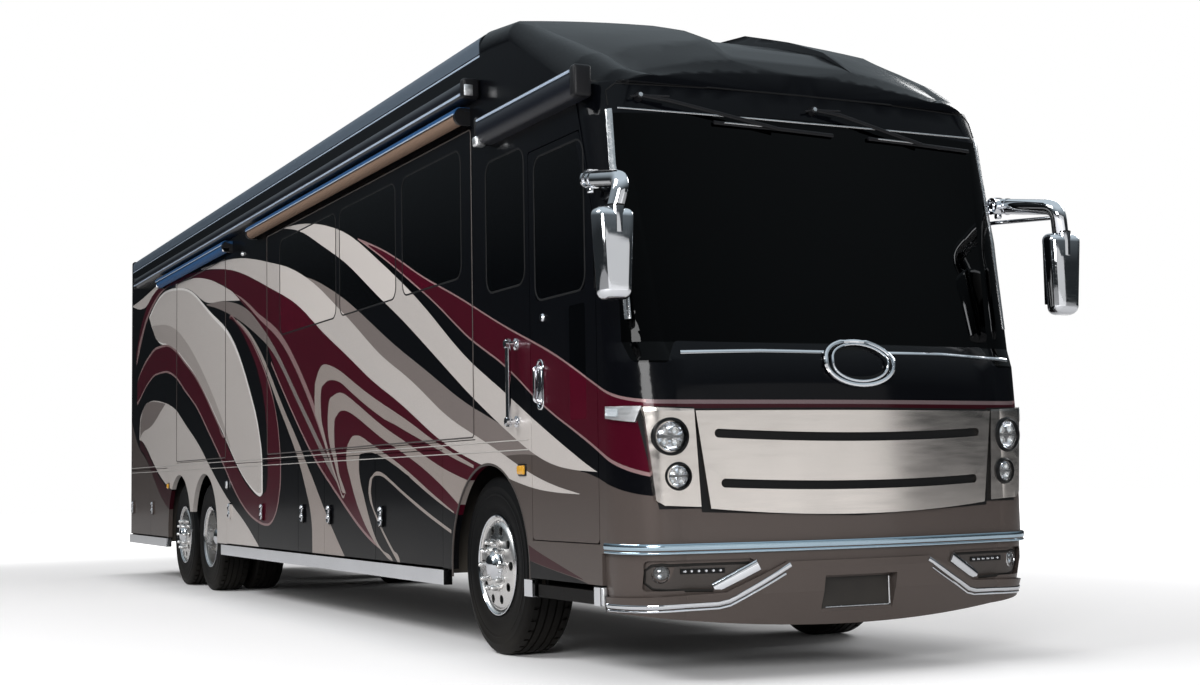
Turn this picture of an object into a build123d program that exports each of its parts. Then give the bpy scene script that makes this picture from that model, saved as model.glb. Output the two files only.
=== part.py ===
"""Tag-axle motorhome, 45 ft class: chassis, hollow body, slide-out rooms, doors and wheels.

The frame is millimetres, +X forward, +Y to the driver's side and +Z up, with the origin on the
ground at mid-length. Stations along the body are counted forward from the front axle.
"""

import os

from build123d import *

os.makedirs("parts", exist_ok=True)

RIGHT, LEFT = -1, 1
SIDES = {"right": RIGHT, "left": LEFT}

# ------------------------------------------------------------------ driving dimensions
WHEELBASE = 7600  # front axle to drive axle
TAG_SPACING = 1190  # drive axle to tag axle
REAR_OVERHANG = 2860  # tag axle to the rear face of the bumper
FRONT_REACH = 2122  # front axle to the mirrors, which reach furthest forward

BODY_HALF = 1295  # half the body's width
WALL = 45  # side walls, roof and caps
PANEL = 36  # bay doors, entry door and engine lid
SEAM = 6  # gap round everything that opens
TRIM_PROUD = 14  # how far rails and chrome panels stand out of the body

ROOF_TOP_Z = 3850  # roof on the centreline
ROOF_EDGE_Z = ROOF_TOP_Z - 50  # roof where its edge rounding ends
WALL_TOP_Z = ROOF_EDGE_Z - 170  # side walls end, roof begins
SLIDE_TOP_Z = WALL_TOP_Z - 382  # underside of the header over the slide-outs
CAP_LOW_Z = WALL_TOP_Z - 465  # lower edge of the front cap over the side walls
BELT_Z = 1250  # top of the bay doors
SILL_TOP_Z = BELT_Z + 42  # top of the sill between bays and slide-outs
DECK_Z1 = BELT_Z + 15  # floor of the living space
DECK_Z0 = DECK_Z1 - 70
SKIRT_Z = 490  # lower edge of the side walls
NOSE_Z = 700  # front cap begins above the bumper

DRIVE_STA = -WHEELBASE
TAG_STA = DRIVE_STA - TAG_SPACING
REAR_STA = TAG_STA - REAR_OVERHANG  # rear face of the bumper
REAR_FACE_STA = REAR_STA + 30  # rear face of the rear cap
REAR_CAP_STA = REAR_STA + 110  # seam between side walls and rear cap
CAP_SEAM_STA = 1600  # seam between side walls and front cap
CREST_STA = 0  # where the front cap ends over the roof
SLANT_Z = 2380  # above this the cap's seam and the door's front edge lean back
SLANT = 1 / 3  # how far they lean back for each millimetre of height
FRONT_AXLE_X = -(REAR_STA + FRONT_REACH) / 2  # puts the origin at mid-length

TYRE_R = 535
TYRE_HALF_W = 152
RIM_R = 286  # bead seat of the wheels
FLANGE_R = 300
HUB_BORE_R = 60
BEARING_GAP = 0.05  # radial clearance of hubs and kingpins
WHEEL_Y = BODY_HALF - 210  # centre plane of the single wheels
DUAL_SPACING = 345  # outer to inner wheel of the drive axle
KINGPIN_Y = WHEEL_Y - 95
KINGPIN_R = 28

RAIL_OUT = 460  # outer face of the chassis rails
RAIL_W = 80
RAIL_Z0 = DECK_Z0 - 260  # the rails carry the deck
BAY_FLOOR_Z = 455
BAY_PLATE = 25


def sta(station):
    """X of a station counted from the front axle."""
    return FRONT_AXLE_X + station


def side_plane(side, reach):
    """Plane parallel to XZ at the given distance from the centreline; its sketches read X, Z."""
    return Plane.XZ.offset(-side * reach)


def save(builder, name):
    """Label a finished piece and write it to its own file."""
    builder.part.label = name
    export_step(builder.part, f"parts/{name}.step")


def add_block(x0, x1, y0, y1, z0, z1, mode=Mode.ADD):
    """Box between two corners, in the current part."""
    with Locations(((x0 + x1) / 2, (y0 + y1) / 2, (z0 + z1) / 2)):
        Box(abs(x1 - x0), abs(y1 - y0), abs(z1 - z0), mode=mode)


def cut_panel(x0, x1, z0, z1, radius=0):
    """Rectangle taken out of the current X, Z sketch, with rounded corners if a radius is given."""
    with Locations(((x0 + x1) / 2, (z0 + z1) / 2)):
        if radius:
            RectangleRounded(x1 - x0, z1 - z0, radius, mode=Mode.SUBTRACT)
        else:
            Rectangle(x1 - x0, z1 - z0, mode=Mode.SUBTRACT)


# ------------------------------------------------------------------ stations of openings
FRONT_ARCH = (30, 520, 620)  # station, height and radius of the front wheel arch
REAR_ARCH_Z, REAR_ARCH_R = 600, 565
ARCH_STRIP_Z = 780  # lower end of the panel between the two rear arches

DOOR_STA = (700, 1580)
DOOR_Z = (700, 2920)
DOOR_WINDOW_STA = (785, 1450)
DOOR_WINDOW_Z = (2050, 2870)
DOOR_SLOT_STA = (1235, 1440)
DOOR_SLOT_Z = (1360, 1980)
SIDE_WINDOW_STA = (50, 640)
SIDE_WINDOW_Z = (2170, 2970)
DRIVER_WINDOW_STA = (150, 1290)
WINDOW_R = 90
WINDOW_Z = (SLIDE_TOP_Z - 928, SLIDE_TOP_Z - 108)
GLASS = 12

# slide-out rooms: name, side, rear station, front station, windows as (rear, front) stations
SLIDE_FRONT_STA = -170
BEDROOM_STA = (TAG_STA - 160, DRIVE_STA + 930)
LOUNGE_WINDOWS = [(-4700, -3060), (-2960, -1640), (-1500, -370)]
SLIDES = [
    ("slide_front_right", RIGHT, DRIVE_STA + 2450, SLIDE_FRONT_STA, LOUNGE_WINDOWS),
    ("slide_rear_right", RIGHT, BEDROOM_STA[0], BEDROOM_STA[1], []),
    ("slide_left", LEFT, BEDROOM_STA[0], SLIDE_FRONT_STA, [(DRIVE_STA + 100, DRIVE_STA + 1500)] + LOUNGE_WINDOWS),
]
SLIDE_DEPTH = 740
SLIDE_SKIN = 40

# edges of the bay doors from front to rear, in one run ahead of the rear wheels and one behind;
# each door is hinged at its front edge
FRONT_RUN = (-750, DRIVE_STA + 950)
REAR_RUN = (TAG_STA - 630, REAR_CAP_STA)
BAY_EDGES = {
    "right": [(FRONT_RUN[0], -2130, -3400, -4150, -5450, FRONT_RUN[1]), (REAR_RUN[0], TAG_STA - 1560, REAR_RUN[1])],
    "left": [(FRONT_RUN[0], -2130, -3400, -5450, FRONT_RUN[1]), REAR_RUN],
}
BAY_DOORS = {
    name: [(rear, front) for run in runs for front, rear in zip(run, run[1:])] for name, runs in BAY_EDGES.items()
}


def slanted(front, height):
    """Station of a leaning edge at a height, for an edge that is upright below SLANT_Z."""
    return front - SLANT * max(height - SLANT_Z, 0)


def door_corners(gap):
    """Corners of the entry door in X, Z, drawn in by a gap."""
    rear, front = DOOR_STA[0] + gap, DOOR_STA[1] - gap
    low, high = DOOR_Z[0] + gap, DOOR_Z[1] - gap
    return [
        (sta(rear), low), (sta(front), low), (sta(front), SLANT_Z),
        (sta(slanted(front, high)), high), (sta(rear), high),
    ]


# ------------------------------------------------------------------ side walls
def side_wall(side, windows, has_door):
    """One body side with its wheel arches and its openings for bays, slide-outs and windows."""
    with BuildPart() as wall:
        with BuildSketch(side_plane(side, BODY_HALF - WALL)):
            with BuildLine():
                Polyline(
                    (sta(REAR_CAP_STA), SKIRT_Z),
                    (sta(REAR_CAP_STA), WALL_TOP_Z),
                    (sta(CREST_STA), WALL_TOP_Z),
                    (sta(CREST_STA), CAP_LOW_Z),
                    (sta(slanted(CAP_SEAM_STA, CAP_LOW_Z)), CAP_LOW_Z),
                    (sta(CAP_SEAM_STA), SLANT_Z),
                    (sta(CAP_SEAM_STA), SKIRT_Z),
                    close=True,
                )
            make_face()
            for front, rear in (FRONT_RUN, REAR_RUN):
                cut_panel(sta(rear) - 1, sta(front), SKIRT_Z - 1, BELT_Z)
            station, height, radius = FRONT_ARCH
            with Locations((sta(station), height)):
                Circle(radius, mode=Mode.SUBTRACT)
            for axle in (DRIVE_STA, TAG_STA):
                with Locations((sta(axle), REAR_ARCH_Z)):
                    Circle(REAR_ARCH_R, mode=Mode.SUBTRACT)
                cut_panel(sta(axle) - REAR_ARCH_R, sta(axle) + REAR_ARCH_R, SKIRT_Z - 1, REAR_ARCH_Z)
            cut_panel(sta(TAG_STA), sta(DRIVE_STA), SKIRT_Z - 1, ARCH_STRIP_Z)
            for _, where, rear, front, _ in SLIDES:
                if where == side:
                    cut_panel(sta(rear), sta(front), SILL_TOP_Z, SLIDE_TOP_Z)
            for rear, front, low, high in windows:
                cut_panel(sta(rear), sta(front), low, high, WINDOW_R)
            if has_door:
                with BuildLine():
                    Polyline(*door_corners(0), close=True)
                make_face(mode=Mode.SUBTRACT)
        extrude(amount=-side * WALL)
    return wall


right_windows = [(*SIDE_WINDOW_STA, *SIDE_WINDOW_Z)]
left_windows = [(*DRIVER_WINDOW_STA, *SIDE_WINDOW_Z)]
save(side_wall(RIGHT, right_windows, True), "side_wall_right")
save(side_wall(LEFT, left_windows, False), "side_wall_left")

with BuildPart() as side_glass:
    for side, windows in ((RIGHT, right_windows), (LEFT, left_windows)):
        with BuildSketch(side_plane(side, BODY_HALF - GLASS)):
            for rear, front, low, high in windows:
                with Locations((sta((rear + front) / 2), (low + high) / 2)):
                    RectangleRounded(front - rear, high - low, WINDOW_R)
        extrude(amount=-side * GLASS)
save(side_glass, "side_glass")


# ------------------------------------------------------------------ slide-out rooms
def slide_room(side, rear, front, windows):
    """Five-sided box, open to the inside, whose outer panel lies flush with the body side."""
    x0, x1 = sta(rear) + SEAM, sta(front) - SEAM
    z0, z1 = SILL_TOP_Z + SEAM, SLIDE_TOP_Z - SEAM
    with BuildPart() as room:
        with BuildSketch(side_plane(side, BODY_HALF - SLIDE_DEPTH)):
            with Locations(((x0 + x1) / 2, (z0 + z1) / 2)):
                Rectangle(x1 - x0, z1 - z0)
        extrude(amount=-side * SLIDE_DEPTH)
        with BuildSketch(side_plane(side, BODY_HALF - SLIDE_DEPTH - 1)):
            with Locations(((x0 + x1) / 2, (z0 + z1) / 2)):
                Rectangle(x1 - x0 - 2 * SLIDE_SKIN, z1 - z0 - 2 * SLIDE_SKIN)
        extrude(amount=-side * (SLIDE_DEPTH + 1 - SLIDE_SKIN), mode=Mode.SUBTRACT)
        for rear_edge, front_edge in windows:
            with BuildSketch(side_plane(side, BODY_HALF - SLIDE_SKIN - 1)):
                with Locations((sta((rear_edge + front_edge) / 2), sum(WINDOW_Z) / 2)):
                    RectangleRounded(front_edge - rear_edge, WINDOW_Z[1] - WINDOW_Z[0], WINDOW_R)
            extrude(amount=-side * (SLIDE_SKIN + 2), mode=Mode.SUBTRACT)
    return room


def slide_panes(side, windows):
    """Glass of one slide-out, flush with its outer panel."""
    with BuildPart() as panes:
        with BuildSketch(side_plane(side, BODY_HALF - GLASS)):
            for rear, front in windows:
                with Locations((sta((rear + front) / 2), sum(WINDOW_Z) / 2)):
                    RectangleRounded(front - rear, WINDOW_Z[1] - WINDOW_Z[0], WINDOW_R)
        extrude(amount=-side * GLASS)
    return panes


for name, side, rear, front, windows in SLIDES:
    save(slide_room(side, rear, front, windows), name)
    if windows:
        save(slide_panes(side, windows), name.replace("slide", "slide_glass"))

# ------------------------------------------------------------------ bay doors
LATCH_INSET = 150  # latch from the door's rear edge
LATCH_Z = 805
LATCH_SIZE = (90, 150)
LATCH_PROUD = 16
for side_name, doors in BAY_DOORS.items():
    side = SIDES[side_name]
    for count, (rear, front) in enumerate(doors, start=1):
        with BuildPart() as bay_door:
            x0, x1 = sta(rear) + SEAM / 2, sta(front) - SEAM / 2
            z0, z1 = SKIRT_Z + SEAM, BELT_Z - SEAM
            with BuildSketch(side_plane(side, BODY_HALF - PANEL)):
                with Locations(((x0 + x1) / 2, (z0 + z1) / 2)):
                    Rectangle(x1 - x0, z1 - z0)
            extrude(amount=-side * PANEL)
            with BuildSketch(side_plane(side, BODY_HALF)):
                with Locations((x0 + LATCH_INSET, LATCH_Z)):
                    RectangleRounded(*LATCH_SIZE, 20)
            extrude(amount=-side * LATCH_PROUD)
        save(bay_door, f"bay_door_{side_name}_{count}")

# ------------------------------------------------------------------ entry door
DOOR_R = 30
DOOR_WINDOW_R = 40
DOOR_SLOT_R = 20
DOOR_FRAME = 60  # frame between the window and the leaning front edge


def door_window_face():
    """The two panes of the entry door in X, Z; the window's upper corner follows the leaning edge."""
    rear, front = DOOR_WINDOW_STA
    low, high = DOOR_WINDOW_Z
    lean_front = DOOR_STA[1] - DOOR_FRAME
    knee_z = SLANT_Z + (lean_front - front) / SLANT
    with BuildSketch(side_plane(RIGHT, BODY_HALF - PANEL)) as face:
        with BuildLine():
            Polyline(
                (sta(rear), low), (sta(front), low), (sta(front), knee_z),
                (sta(slanted(lean_front, high)), high), (sta(rear), high),
                close=True,
            )
        make_face()
        fillet(face.vertices(), DOOR_WINDOW_R)
        with Locations((sta(sum(DOOR_SLOT_STA) / 2), sum(DOOR_SLOT_Z) / 2)):
            RectangleRounded(DOOR_SLOT_STA[1] - DOOR_SLOT_STA[0], DOOR_SLOT_Z[1] - DOOR_SLOT_Z[0], DOOR_SLOT_R)
    return face.sketch


with BuildPart() as entry_door:
    with BuildSketch(side_plane(RIGHT, BODY_HALF - PANEL)) as door_face:
        with BuildLine():
            Polyline(*door_corners(SEAM), close=True)
        make_face()
        fillet(door_face.vertices(), DOOR_R)
    extrude(amount=PANEL)
    extrude(door_window_face(), amount=PANEL, mode=Mode.SUBTRACT)
save(entry_door, "entry_door")

with BuildPart() as entry_door_glass:
    extrude(door_window_face(), amount=PANEL)
    add_block(
        sta(DOOR_STA[0]), sta(DOOR_STA[1]), -(BODY_HALF - PANEL), -(BODY_HALF - GLASS), *DOOR_Z,
        mode=Mode.SUBTRACT,
    )
save(entry_door_glass, "entry_door_glass")


# ------------------------------------------------------------------ roof
ROOF_ROUND = 70
KNEE = 1 - 0.5 ** 0.5  # how far the middle of a quarter round stands in from its corner, of its radius


def roof_face(station, inset):
    """Cross-section of the roof at a station, inset for its inside."""
    half = BODY_HALF - inset
    flat_half = half - ROOF_ROUND
    edge_z, top_z = ROOF_EDGE_Z - inset, ROOF_TOP_Z - inset
    low, turn_z = WALL_TOP_Z - (1 if inset else 0), edge_z - ROOF_ROUND
    knee_y, knee_z = half - KNEE * ROOF_ROUND, edge_z - KNEE * ROOF_ROUND
    with BuildSketch(Plane.YZ.offset(sta(station))) as face:
        with BuildLine():
            Line((-half, low), (half, low))
            Line((half, low), (half, turn_z))
            ThreePointArc((half, turn_z), (knee_y, knee_z), (flat_half, edge_z))
            ThreePointArc((flat_half, edge_z), (0, top_z), (-flat_half, edge_z))
            ThreePointArc((-flat_half, edge_z), (-knee_y, knee_z), (-half, turn_z))
            Line((-half, turn_z), (-half, low))
        make_face()
    return face.sketch


with BuildPart() as roof:
    extrude(roof_face(REAR_CAP_STA, 0), amount=CREST_STA - REAR_CAP_STA)
    extrude(roof_face(REAR_CAP_STA, WALL), amount=CREST_STA - REAR_CAP_STA, mode=Mode.SUBTRACT)
save(roof, "roof")

# ------------------------------------------------------------------ front cap
# levels of the nose: height, station on the centreline, station of the corner and its inset from
# the body side, station where the corner meets the body side, inset there
NOSE_LEVELS = [
    (NOSE_Z, 2045, 1945, 295, 1660, 0),
    (1380, 2050, 1940, 295, 1660, 0),
    (1640, 2030, 1905, 275, 1650, 0),
    (1740, 1965, 1850, 255, 1640, 0),
    (SLANT_Z, 1797, 1727, 203, 1600, 0),
    (CAP_LOW_Z - 185, 1640, 1612, 155, 1430, 5),
    (CAP_LOW_Z + 2, 1600, 1566, 235, 1345, 8),
]
# sections of the brow over the windshield: station, inset from the body side, height over the
# cap's lower edge where the shoulder begins, inset and height where the crown begins, height on
# the centreline, depth of the air channel in the crown
BROW_SECTIONS = [
    (CREST_STA, 0, 497, 73, 651, 704, 70),
    (450, 1, 465, 70, 599, 666, 70),
    (900, 1, 237, 181, 392, 529, 62),
    (1250, 1, 50, 245, 224, 391, 48),
    (1500, 90, 5, 285, 81, 222, 24),
    (CAP_SEAM_STA, 205, 3, 395, 35, 107, -5),
]
CHANNEL_HALF = (300, 400)  # half-width of the air channel at the crest and at its front tip


def nose_face(level, inset, stretch=0):
    """Plan outline of a nose or bumper at one level, inset for its inside."""
    height, centre, corner, corner_in, side_at, side_in = level
    back = sta(slanted(CAP_SEAM_STA, CAP_LOW_Z)) - WALL
    half, corner_half = BODY_HALF - side_in - inset, BODY_HALF - corner_in - 0.6 * inset
    front_x, corner_x, side_x = sta(centre) - inset, sta(corner) - inset, sta(side_at) - 0.2 * inset
    bulge_x = corner_x + 0.30 * (side_x - corner_x)
    bulge_y = corner_half + 0.74 * (half - corner_half)
    with BuildSketch(Plane.XY.offset(height + stretch)) as face:
        with BuildLine():
            Line((back, -half), (side_x, -half))
            ThreePointArc((side_x, -half), (bulge_x, -bulge_y), (corner_x, -corner_half))
            ThreePointArc((corner_x, -corner_half), (front_x, 0), (corner_x, corner_half))
            ThreePointArc((corner_x, corner_half), (bulge_x, bulge_y), (side_x, half))
            Line((side_x, half), (back, half))
            Line((back, half), (back, -half))
        make_face()
    return face.sketch


def nose_solid(levels, inset):
    """Solid lofted through plan outlines, or its inside where inset is the wall."""
    with BuildPart() as nose:
        for lower, upper in zip(levels, levels[1:]):
            low_stretch = -1 if inset and lower is levels[0] else 0
            high_stretch = 1 if inset and upper is levels[-1] else 0
            loft([nose_face(lower, inset, low_stretch), nose_face(upper, inset, high_stretch)], ruled=True)
    return nose.part


def brow_face(section, inset, shift=0):
    """Outline of the brow across the body at one station, inset for its inside."""
    station, side_in, side_up, crown_in, crown_up, top_up, _ = section
    low = CAP_LOW_Z - (1 if inset else 0)
    half, crown_half = BODY_HALF - side_in - inset, BODY_HALF - crown_in - 0.5 * inset
    side_z = max(CAP_LOW_Z + side_up - 0.6 * inset, low + 1)
    crown_z, top_z = CAP_LOW_Z + crown_up - inset, CAP_LOW_Z + top_up - inset
    bulge_y = crown_half + 0.72 * (half - crown_half)
    bulge_z = side_z + 0.72 * (crown_z - side_z)
    with BuildSketch(Plane.YZ.offset(sta(station) + shift)) as face:
        with BuildLine():
            Line((-half, low), (half, low))
            Line((half, low), (half, side_z))
            ThreePointArc((half, side_z), (bulge_y, bulge_z), (crown_half, crown_z))
            ThreePointArc((crown_half, crown_z), (0, top_z), (-crown_half, crown_z))
            ThreePointArc((-crown_half, crown_z), (-bulge_y, bulge_z), (-half, side_z))
            Line((-half, side_z), (-half, low))
        make_face()
    return face.sketch


def brow_solid(inset):
    """Solid brow, its inside where inset is the wall."""
    sections = BROW_SECTIONS[:-1] if inset else BROW_SECTIONS
    with BuildPart() as brow:
        for rear, front in zip(sections, sections[1:]):
            shift = -1 if inset and rear is sections[0] else 0
            loft([brow_face(rear, inset, shift), brow_face(front, inset)], ruled=True)
    return brow.part


def channel_face(section, wall, shift=0):
    """Section of the air channel sunk into the crown, grown by the wall of its trough."""
    station, top_up, depth = section[0], section[5], section[6]
    share = (station - CREST_STA) / (CAP_SEAM_STA - CREST_STA)
    half = CHANNEL_HALF[0] + share * (CHANNEL_HALF[1] - CHANNEL_HALF[0]) + wall
    floor, roof_over = CAP_LOW_Z + top_up - depth - wall, CAP_LOW_Z + top_up + 100
    with BuildSketch(Plane.YZ.offset(sta(station) + shift)) as face:
        with Locations((0, (floor + roof_over) / 2)):
            Rectangle(2 * half, roof_over - floor)
    return face.sketch


def channel_solid(wall):
    """The air channel as a solid, or with the wall of its trough."""
    with BuildPart() as channel:
        for rear, front in zip(BROW_SECTIONS, BROW_SECTIONS[1:]):
            shift = -1 if rear is BROW_SECTIONS[0] and not wall else 0
            loft([channel_face(rear, wall, shift), channel_face(front, wall)], ruled=True)
    return channel.part


# windshield across the body: insets from the body side and heights
SHIELD_LOW_MID_Z = 1734
SHIELD_HIGH_MID_Z = 3020
SHIELD_HIGH = (78, 2976)
SHIELD_SIDE = [(50, 1745), (75, 1632), (245, 1628), (310, 1746)]  # the corners dip in a pocket
SHIELD_R = 35
SHIELD_FROM = 1380  # the cut through the cap starts at this station
CAP_REACH = 900  # length of cuts that go forwards through the cap


def shield_face():
    """Front view of the windshield."""
    right = [(inset - BODY_HALF, height) for inset, height in SHIELD_SIDE]
    left = [(-y, z) for y, z in reversed(right)]
    high_half, high_z = BODY_HALF - SHIELD_HIGH[0], SHIELD_HIGH[1]
    with BuildSketch(Plane.YZ.offset(sta(SHIELD_FROM))) as face:
        with BuildLine():
            Polyline((-high_half, high_z), *right)
            ThreePointArc(right[-1], (0, SHIELD_LOW_MID_Z), left[0])
            Polyline(*left, (high_half, high_z))
            ThreePointArc((high_half, high_z), (0, SHIELD_HIGH_MID_Z), (-high_half, high_z))
        make_face()
        fillet(face.vertices(), SHIELD_R)
    return face.sketch


# lamps: half-width, height, radius, station of the face
LAMPS = [(1066, 1249, 76, 1895), (1031, 1047, 56, 1925)]
FOG_LAMPS = [(1106, 562, 39, 1885)]
LAMP_DEEP = 130


def lamp_faces(lamps, from_station):
    """Circles of a set of lamps on both sides, in front view."""
    with BuildSketch(Plane.YZ.offset(sta(from_station))) as face:
        for half, height, radius, _ in lamps:
            with Locations((-half, height), (half, height)):
                Circle(radius)
    return face.sketch


outer_nose = nose_solid(NOSE_LEVELS, 0)
inner_nose = nose_solid(NOSE_LEVELS, WALL)

with BuildPart() as brow_shell:
    add(brow_solid(0))
    add(brow_solid(WALL), mode=Mode.SUBTRACT)
    with BuildPart(mode=Mode.PRIVATE) as trough:
        add(channel_solid(WALL))
        add(brow_solid(0), mode=Mode.INTERSECT)
    add(trough.part)
    add(channel_solid(0), mode=Mode.SUBTRACT)

with BuildPart() as front_cap:
    add(outer_nose)
    add(inner_nose, mode=Mode.SUBTRACT)
    with BuildSketch(Plane.XZ.offset(-2 * BODY_HALF)):
        with BuildLine():
            Polyline(
                (sta(CREST_STA), 0), (sta(CAP_SEAM_STA), 0), (sta(CAP_SEAM_STA), SLANT_Z),
                (sta(slanted(CAP_SEAM_STA, CAP_LOW_Z)), CAP_LOW_Z), (sta(CREST_STA), CAP_LOW_Z),
                close=True,
            )
        make_face()
    extrude(amount=4 * BODY_HALF, mode=Mode.SUBTRACT)
    add(brow_shell.part)
    extrude(shield_face(), amount=CAP_REACH, mode=Mode.SUBTRACT)
    extrude(lamp_faces(LAMPS, CAP_SEAM_STA), amount=CAP_REACH, mode=Mode.SUBTRACT)
save(front_cap, "front_cap")

with BuildPart() as windshield:
    extrude(shield_face(), amount=CAP_REACH)
    with BuildPart(mode=Mode.PRIVATE) as pane:
        add(outer_nose)
        add(nose_solid(NOSE_LEVELS, GLASS), mode=Mode.SUBTRACT)
    add(pane.part, mode=Mode.INTERSECT)
save(windshield, "windshield")

# ------------------------------------------------------------------ grille, lamp panels, lamps
GRILLE_TOP = (935, 1380)
GRILLE_LOW = (865, 880)
GRILLE_LOW_MID_Z = 836
GRILLE_PROUD = 26
SLOT_H = 46
# grille slots: half-length, height at the ends, height in the middle
GRILLE_SLOTS = [(815, 1263, 1240), (785, 1008, 988)]
# corners of a lamp panel: half-width, height
LAMP_PANEL = [(943, 1389), (1199, 1400), (1150, 925), (1110, 900), (917, 890)]

with BuildPart() as grille:
    with BuildSketch(Plane.YZ.offset(sta(CAP_SEAM_STA))):
        with BuildLine():
            Line((-GRILLE_TOP[0], GRILLE_TOP[1]), GRILLE_TOP)
            Line(GRILLE_TOP, GRILLE_LOW)
            ThreePointArc(GRILLE_LOW, (0, GRILLE_LOW_MID_Z), (-GRILLE_LOW[0], GRILLE_LOW[1]))
            Line((-GRILLE_LOW[0], GRILLE_LOW[1]), (-GRILLE_TOP[0], GRILLE_TOP[1]))
        make_face()
        for half, end_z, mid_z in GRILLE_SLOTS:
            with BuildLine(mode=Mode.PRIVATE) as slot:
                ThreePointArc((-half, end_z), (0, mid_z), (half, end_z))
            SlotArc(slot.edges()[0], SLOT_H, mode=Mode.SUBTRACT)
    extrude(amount=CAP_REACH)
    # lamp panels on both sides of the grille, each a plate of its own
    for way in (RIGHT, LEFT):
        with BuildSketch(Plane.YZ.offset(sta(CAP_SEAM_STA))):
            with BuildLine():
                Polyline(*[(way * half, height) for half, height in LAMP_PANEL], close=True)
            make_face()
        extrude(amount=CAP_REACH)
    extrude(lamp_faces(LAMPS, CAP_SEAM_STA), amount=CAP_REACH, mode=Mode.SUBTRACT)
    add(nose_solid(NOSE_LEVELS, -GRILLE_PROUD), mode=Mode.INTERSECT)
    add(outer_nose, mode=Mode.SUBTRACT)
save(grille, "grille")

with BuildPart() as headlamps:
    for half, height, radius, front in LAMPS + FOG_LAMPS:
        with BuildSketch(Plane.YZ.offset(sta(front) - LAMP_DEEP)):
            with Locations((-half, height), (half, height)):
                Circle(radius)
        extrude(amount=LAMP_DEEP)
save(headlamps, "headlamps")

# ------------------------------------------------------------------ front bumper
# levels in the columns of NOSE_LEVELS
BUMPER_LEVELS = [
    (260, 1975, 1870, 335, 1650, 25),
    (440, 2045, 1940, 310, 1675, 8),
    (560, 2070, 1965, 295, 1690, 0),
    (NOSE_Z, 2070, 1965, 295, 1690, 0),
]
BUMPER_WALL = 60
BUMPER_LOW_SIDE_Z = 358  # lower edge at the sides; it sags to the lowest level in the middle
BEAD_Z = 655  # underside of the bead along the top
# upper edge of the lower tier: half-width, height
TIER_EDGE = [(1400, 430), (780, 452), (450, 600)]
TIER_DEEP = 20
TIER_R = 18
# fog lamp pocket: half-width, height
FOG_POCKET = [(1195, 622), (580, 622), (790, 468), (1195, 468)]
FOG_POCKET_R = 22
FOG_POCKET_DEEP = 42
PLATE_HALF = 225
PLATE_Z = (330, 520)
PLATE_STA = 1995
PLATE_FRAME = 15

outer_bumper = nose_solid(BUMPER_LEVELS, 0)


def sunk(outline, depth, radius):
    """What to cut from the bumper to sink a front-view outline with rounded corners into it."""
    with BuildPart() as cutter:
        with BuildSketch(Plane.YZ.offset(sta(CAP_SEAM_STA))) as face:
            with BuildLine():
                Polyline(*outline, close=True)
            make_face()
            fillet(face.vertices(), radius)
        extrude(amount=CAP_REACH)
        add(nose_solid(BUMPER_LEVELS, depth), mode=Mode.SUBTRACT)
    return cutter.part


with BuildPart() as plate_pan:
    add_block(
        sta(PLATE_STA - PLATE_FRAME), sta(PLATE_STA + CAP_REACH), -PLATE_HALF - PLATE_FRAME, PLATE_HALF + PLATE_FRAME,
        PLATE_Z[0] - PLATE_FRAME, PLATE_Z[1] + PLATE_FRAME,
    )
    add(outer_bumper, mode=Mode.INTERSECT)

with BuildPart() as front_bumper:
    add(outer_bumper)
    add(nose_solid(BUMPER_LEVELS, BUMPER_WALL), mode=Mode.SUBTRACT)
    add(plate_pan.part)
    tier = [(-half, height) for half, height in TIER_EDGE] + [(half, height) for half, height in reversed(TIER_EDGE)]
    add(sunk(tier + [(TIER_EDGE[0][0], BEAD_Z), (-TIER_EDGE[0][0], BEAD_Z)], TIER_DEEP, TIER_R), mode=Mode.SUBTRACT)
    for way in (RIGHT, LEFT):
        add(sunk([(way * half, height) for half, height in FOG_POCKET], FOG_POCKET_DEEP, FOG_POCKET_R), mode=Mode.SUBTRACT)
    add_block(
        sta(PLATE_STA), sta(PLATE_STA + CAP_REACH), -PLATE_HALF, PLATE_HALF, *PLATE_Z, mode=Mode.SUBTRACT
    )
    extrude(lamp_faces(FOG_LAMPS, CAP_SEAM_STA), amount=CAP_REACH, mode=Mode.SUBTRACT)
    add_block(sta(CREST_STA), sta(CAP_SEAM_STA), -BODY_HALF, BODY_HALF, 0, NOSE_Z + 1, mode=Mode.SUBTRACT)
    with BuildSketch(Plane.YZ.offset(sta(CREST_STA))):
        with BuildLine():
            low_z = BUMPER_LEVELS[0][0]
            ThreePointArc((-BODY_HALF, BUMPER_LOW_SIDE_Z), (0, low_z), (BODY_HALF, BUMPER_LOW_SIDE_Z))
            Polyline(
                (BODY_HALF, BUMPER_LOW_SIDE_Z), (BODY_HALF, low_z - 1), (-BODY_HALF, low_z - 1),
                (-BODY_HALF, BUMPER_LOW_SIDE_Z),
            )
        make_face()
    extrude(amount=CAP_REACH + CAP_SEAM_STA, mode=Mode.SUBTRACT)
save(front_bumper, "front_bumper")

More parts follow.
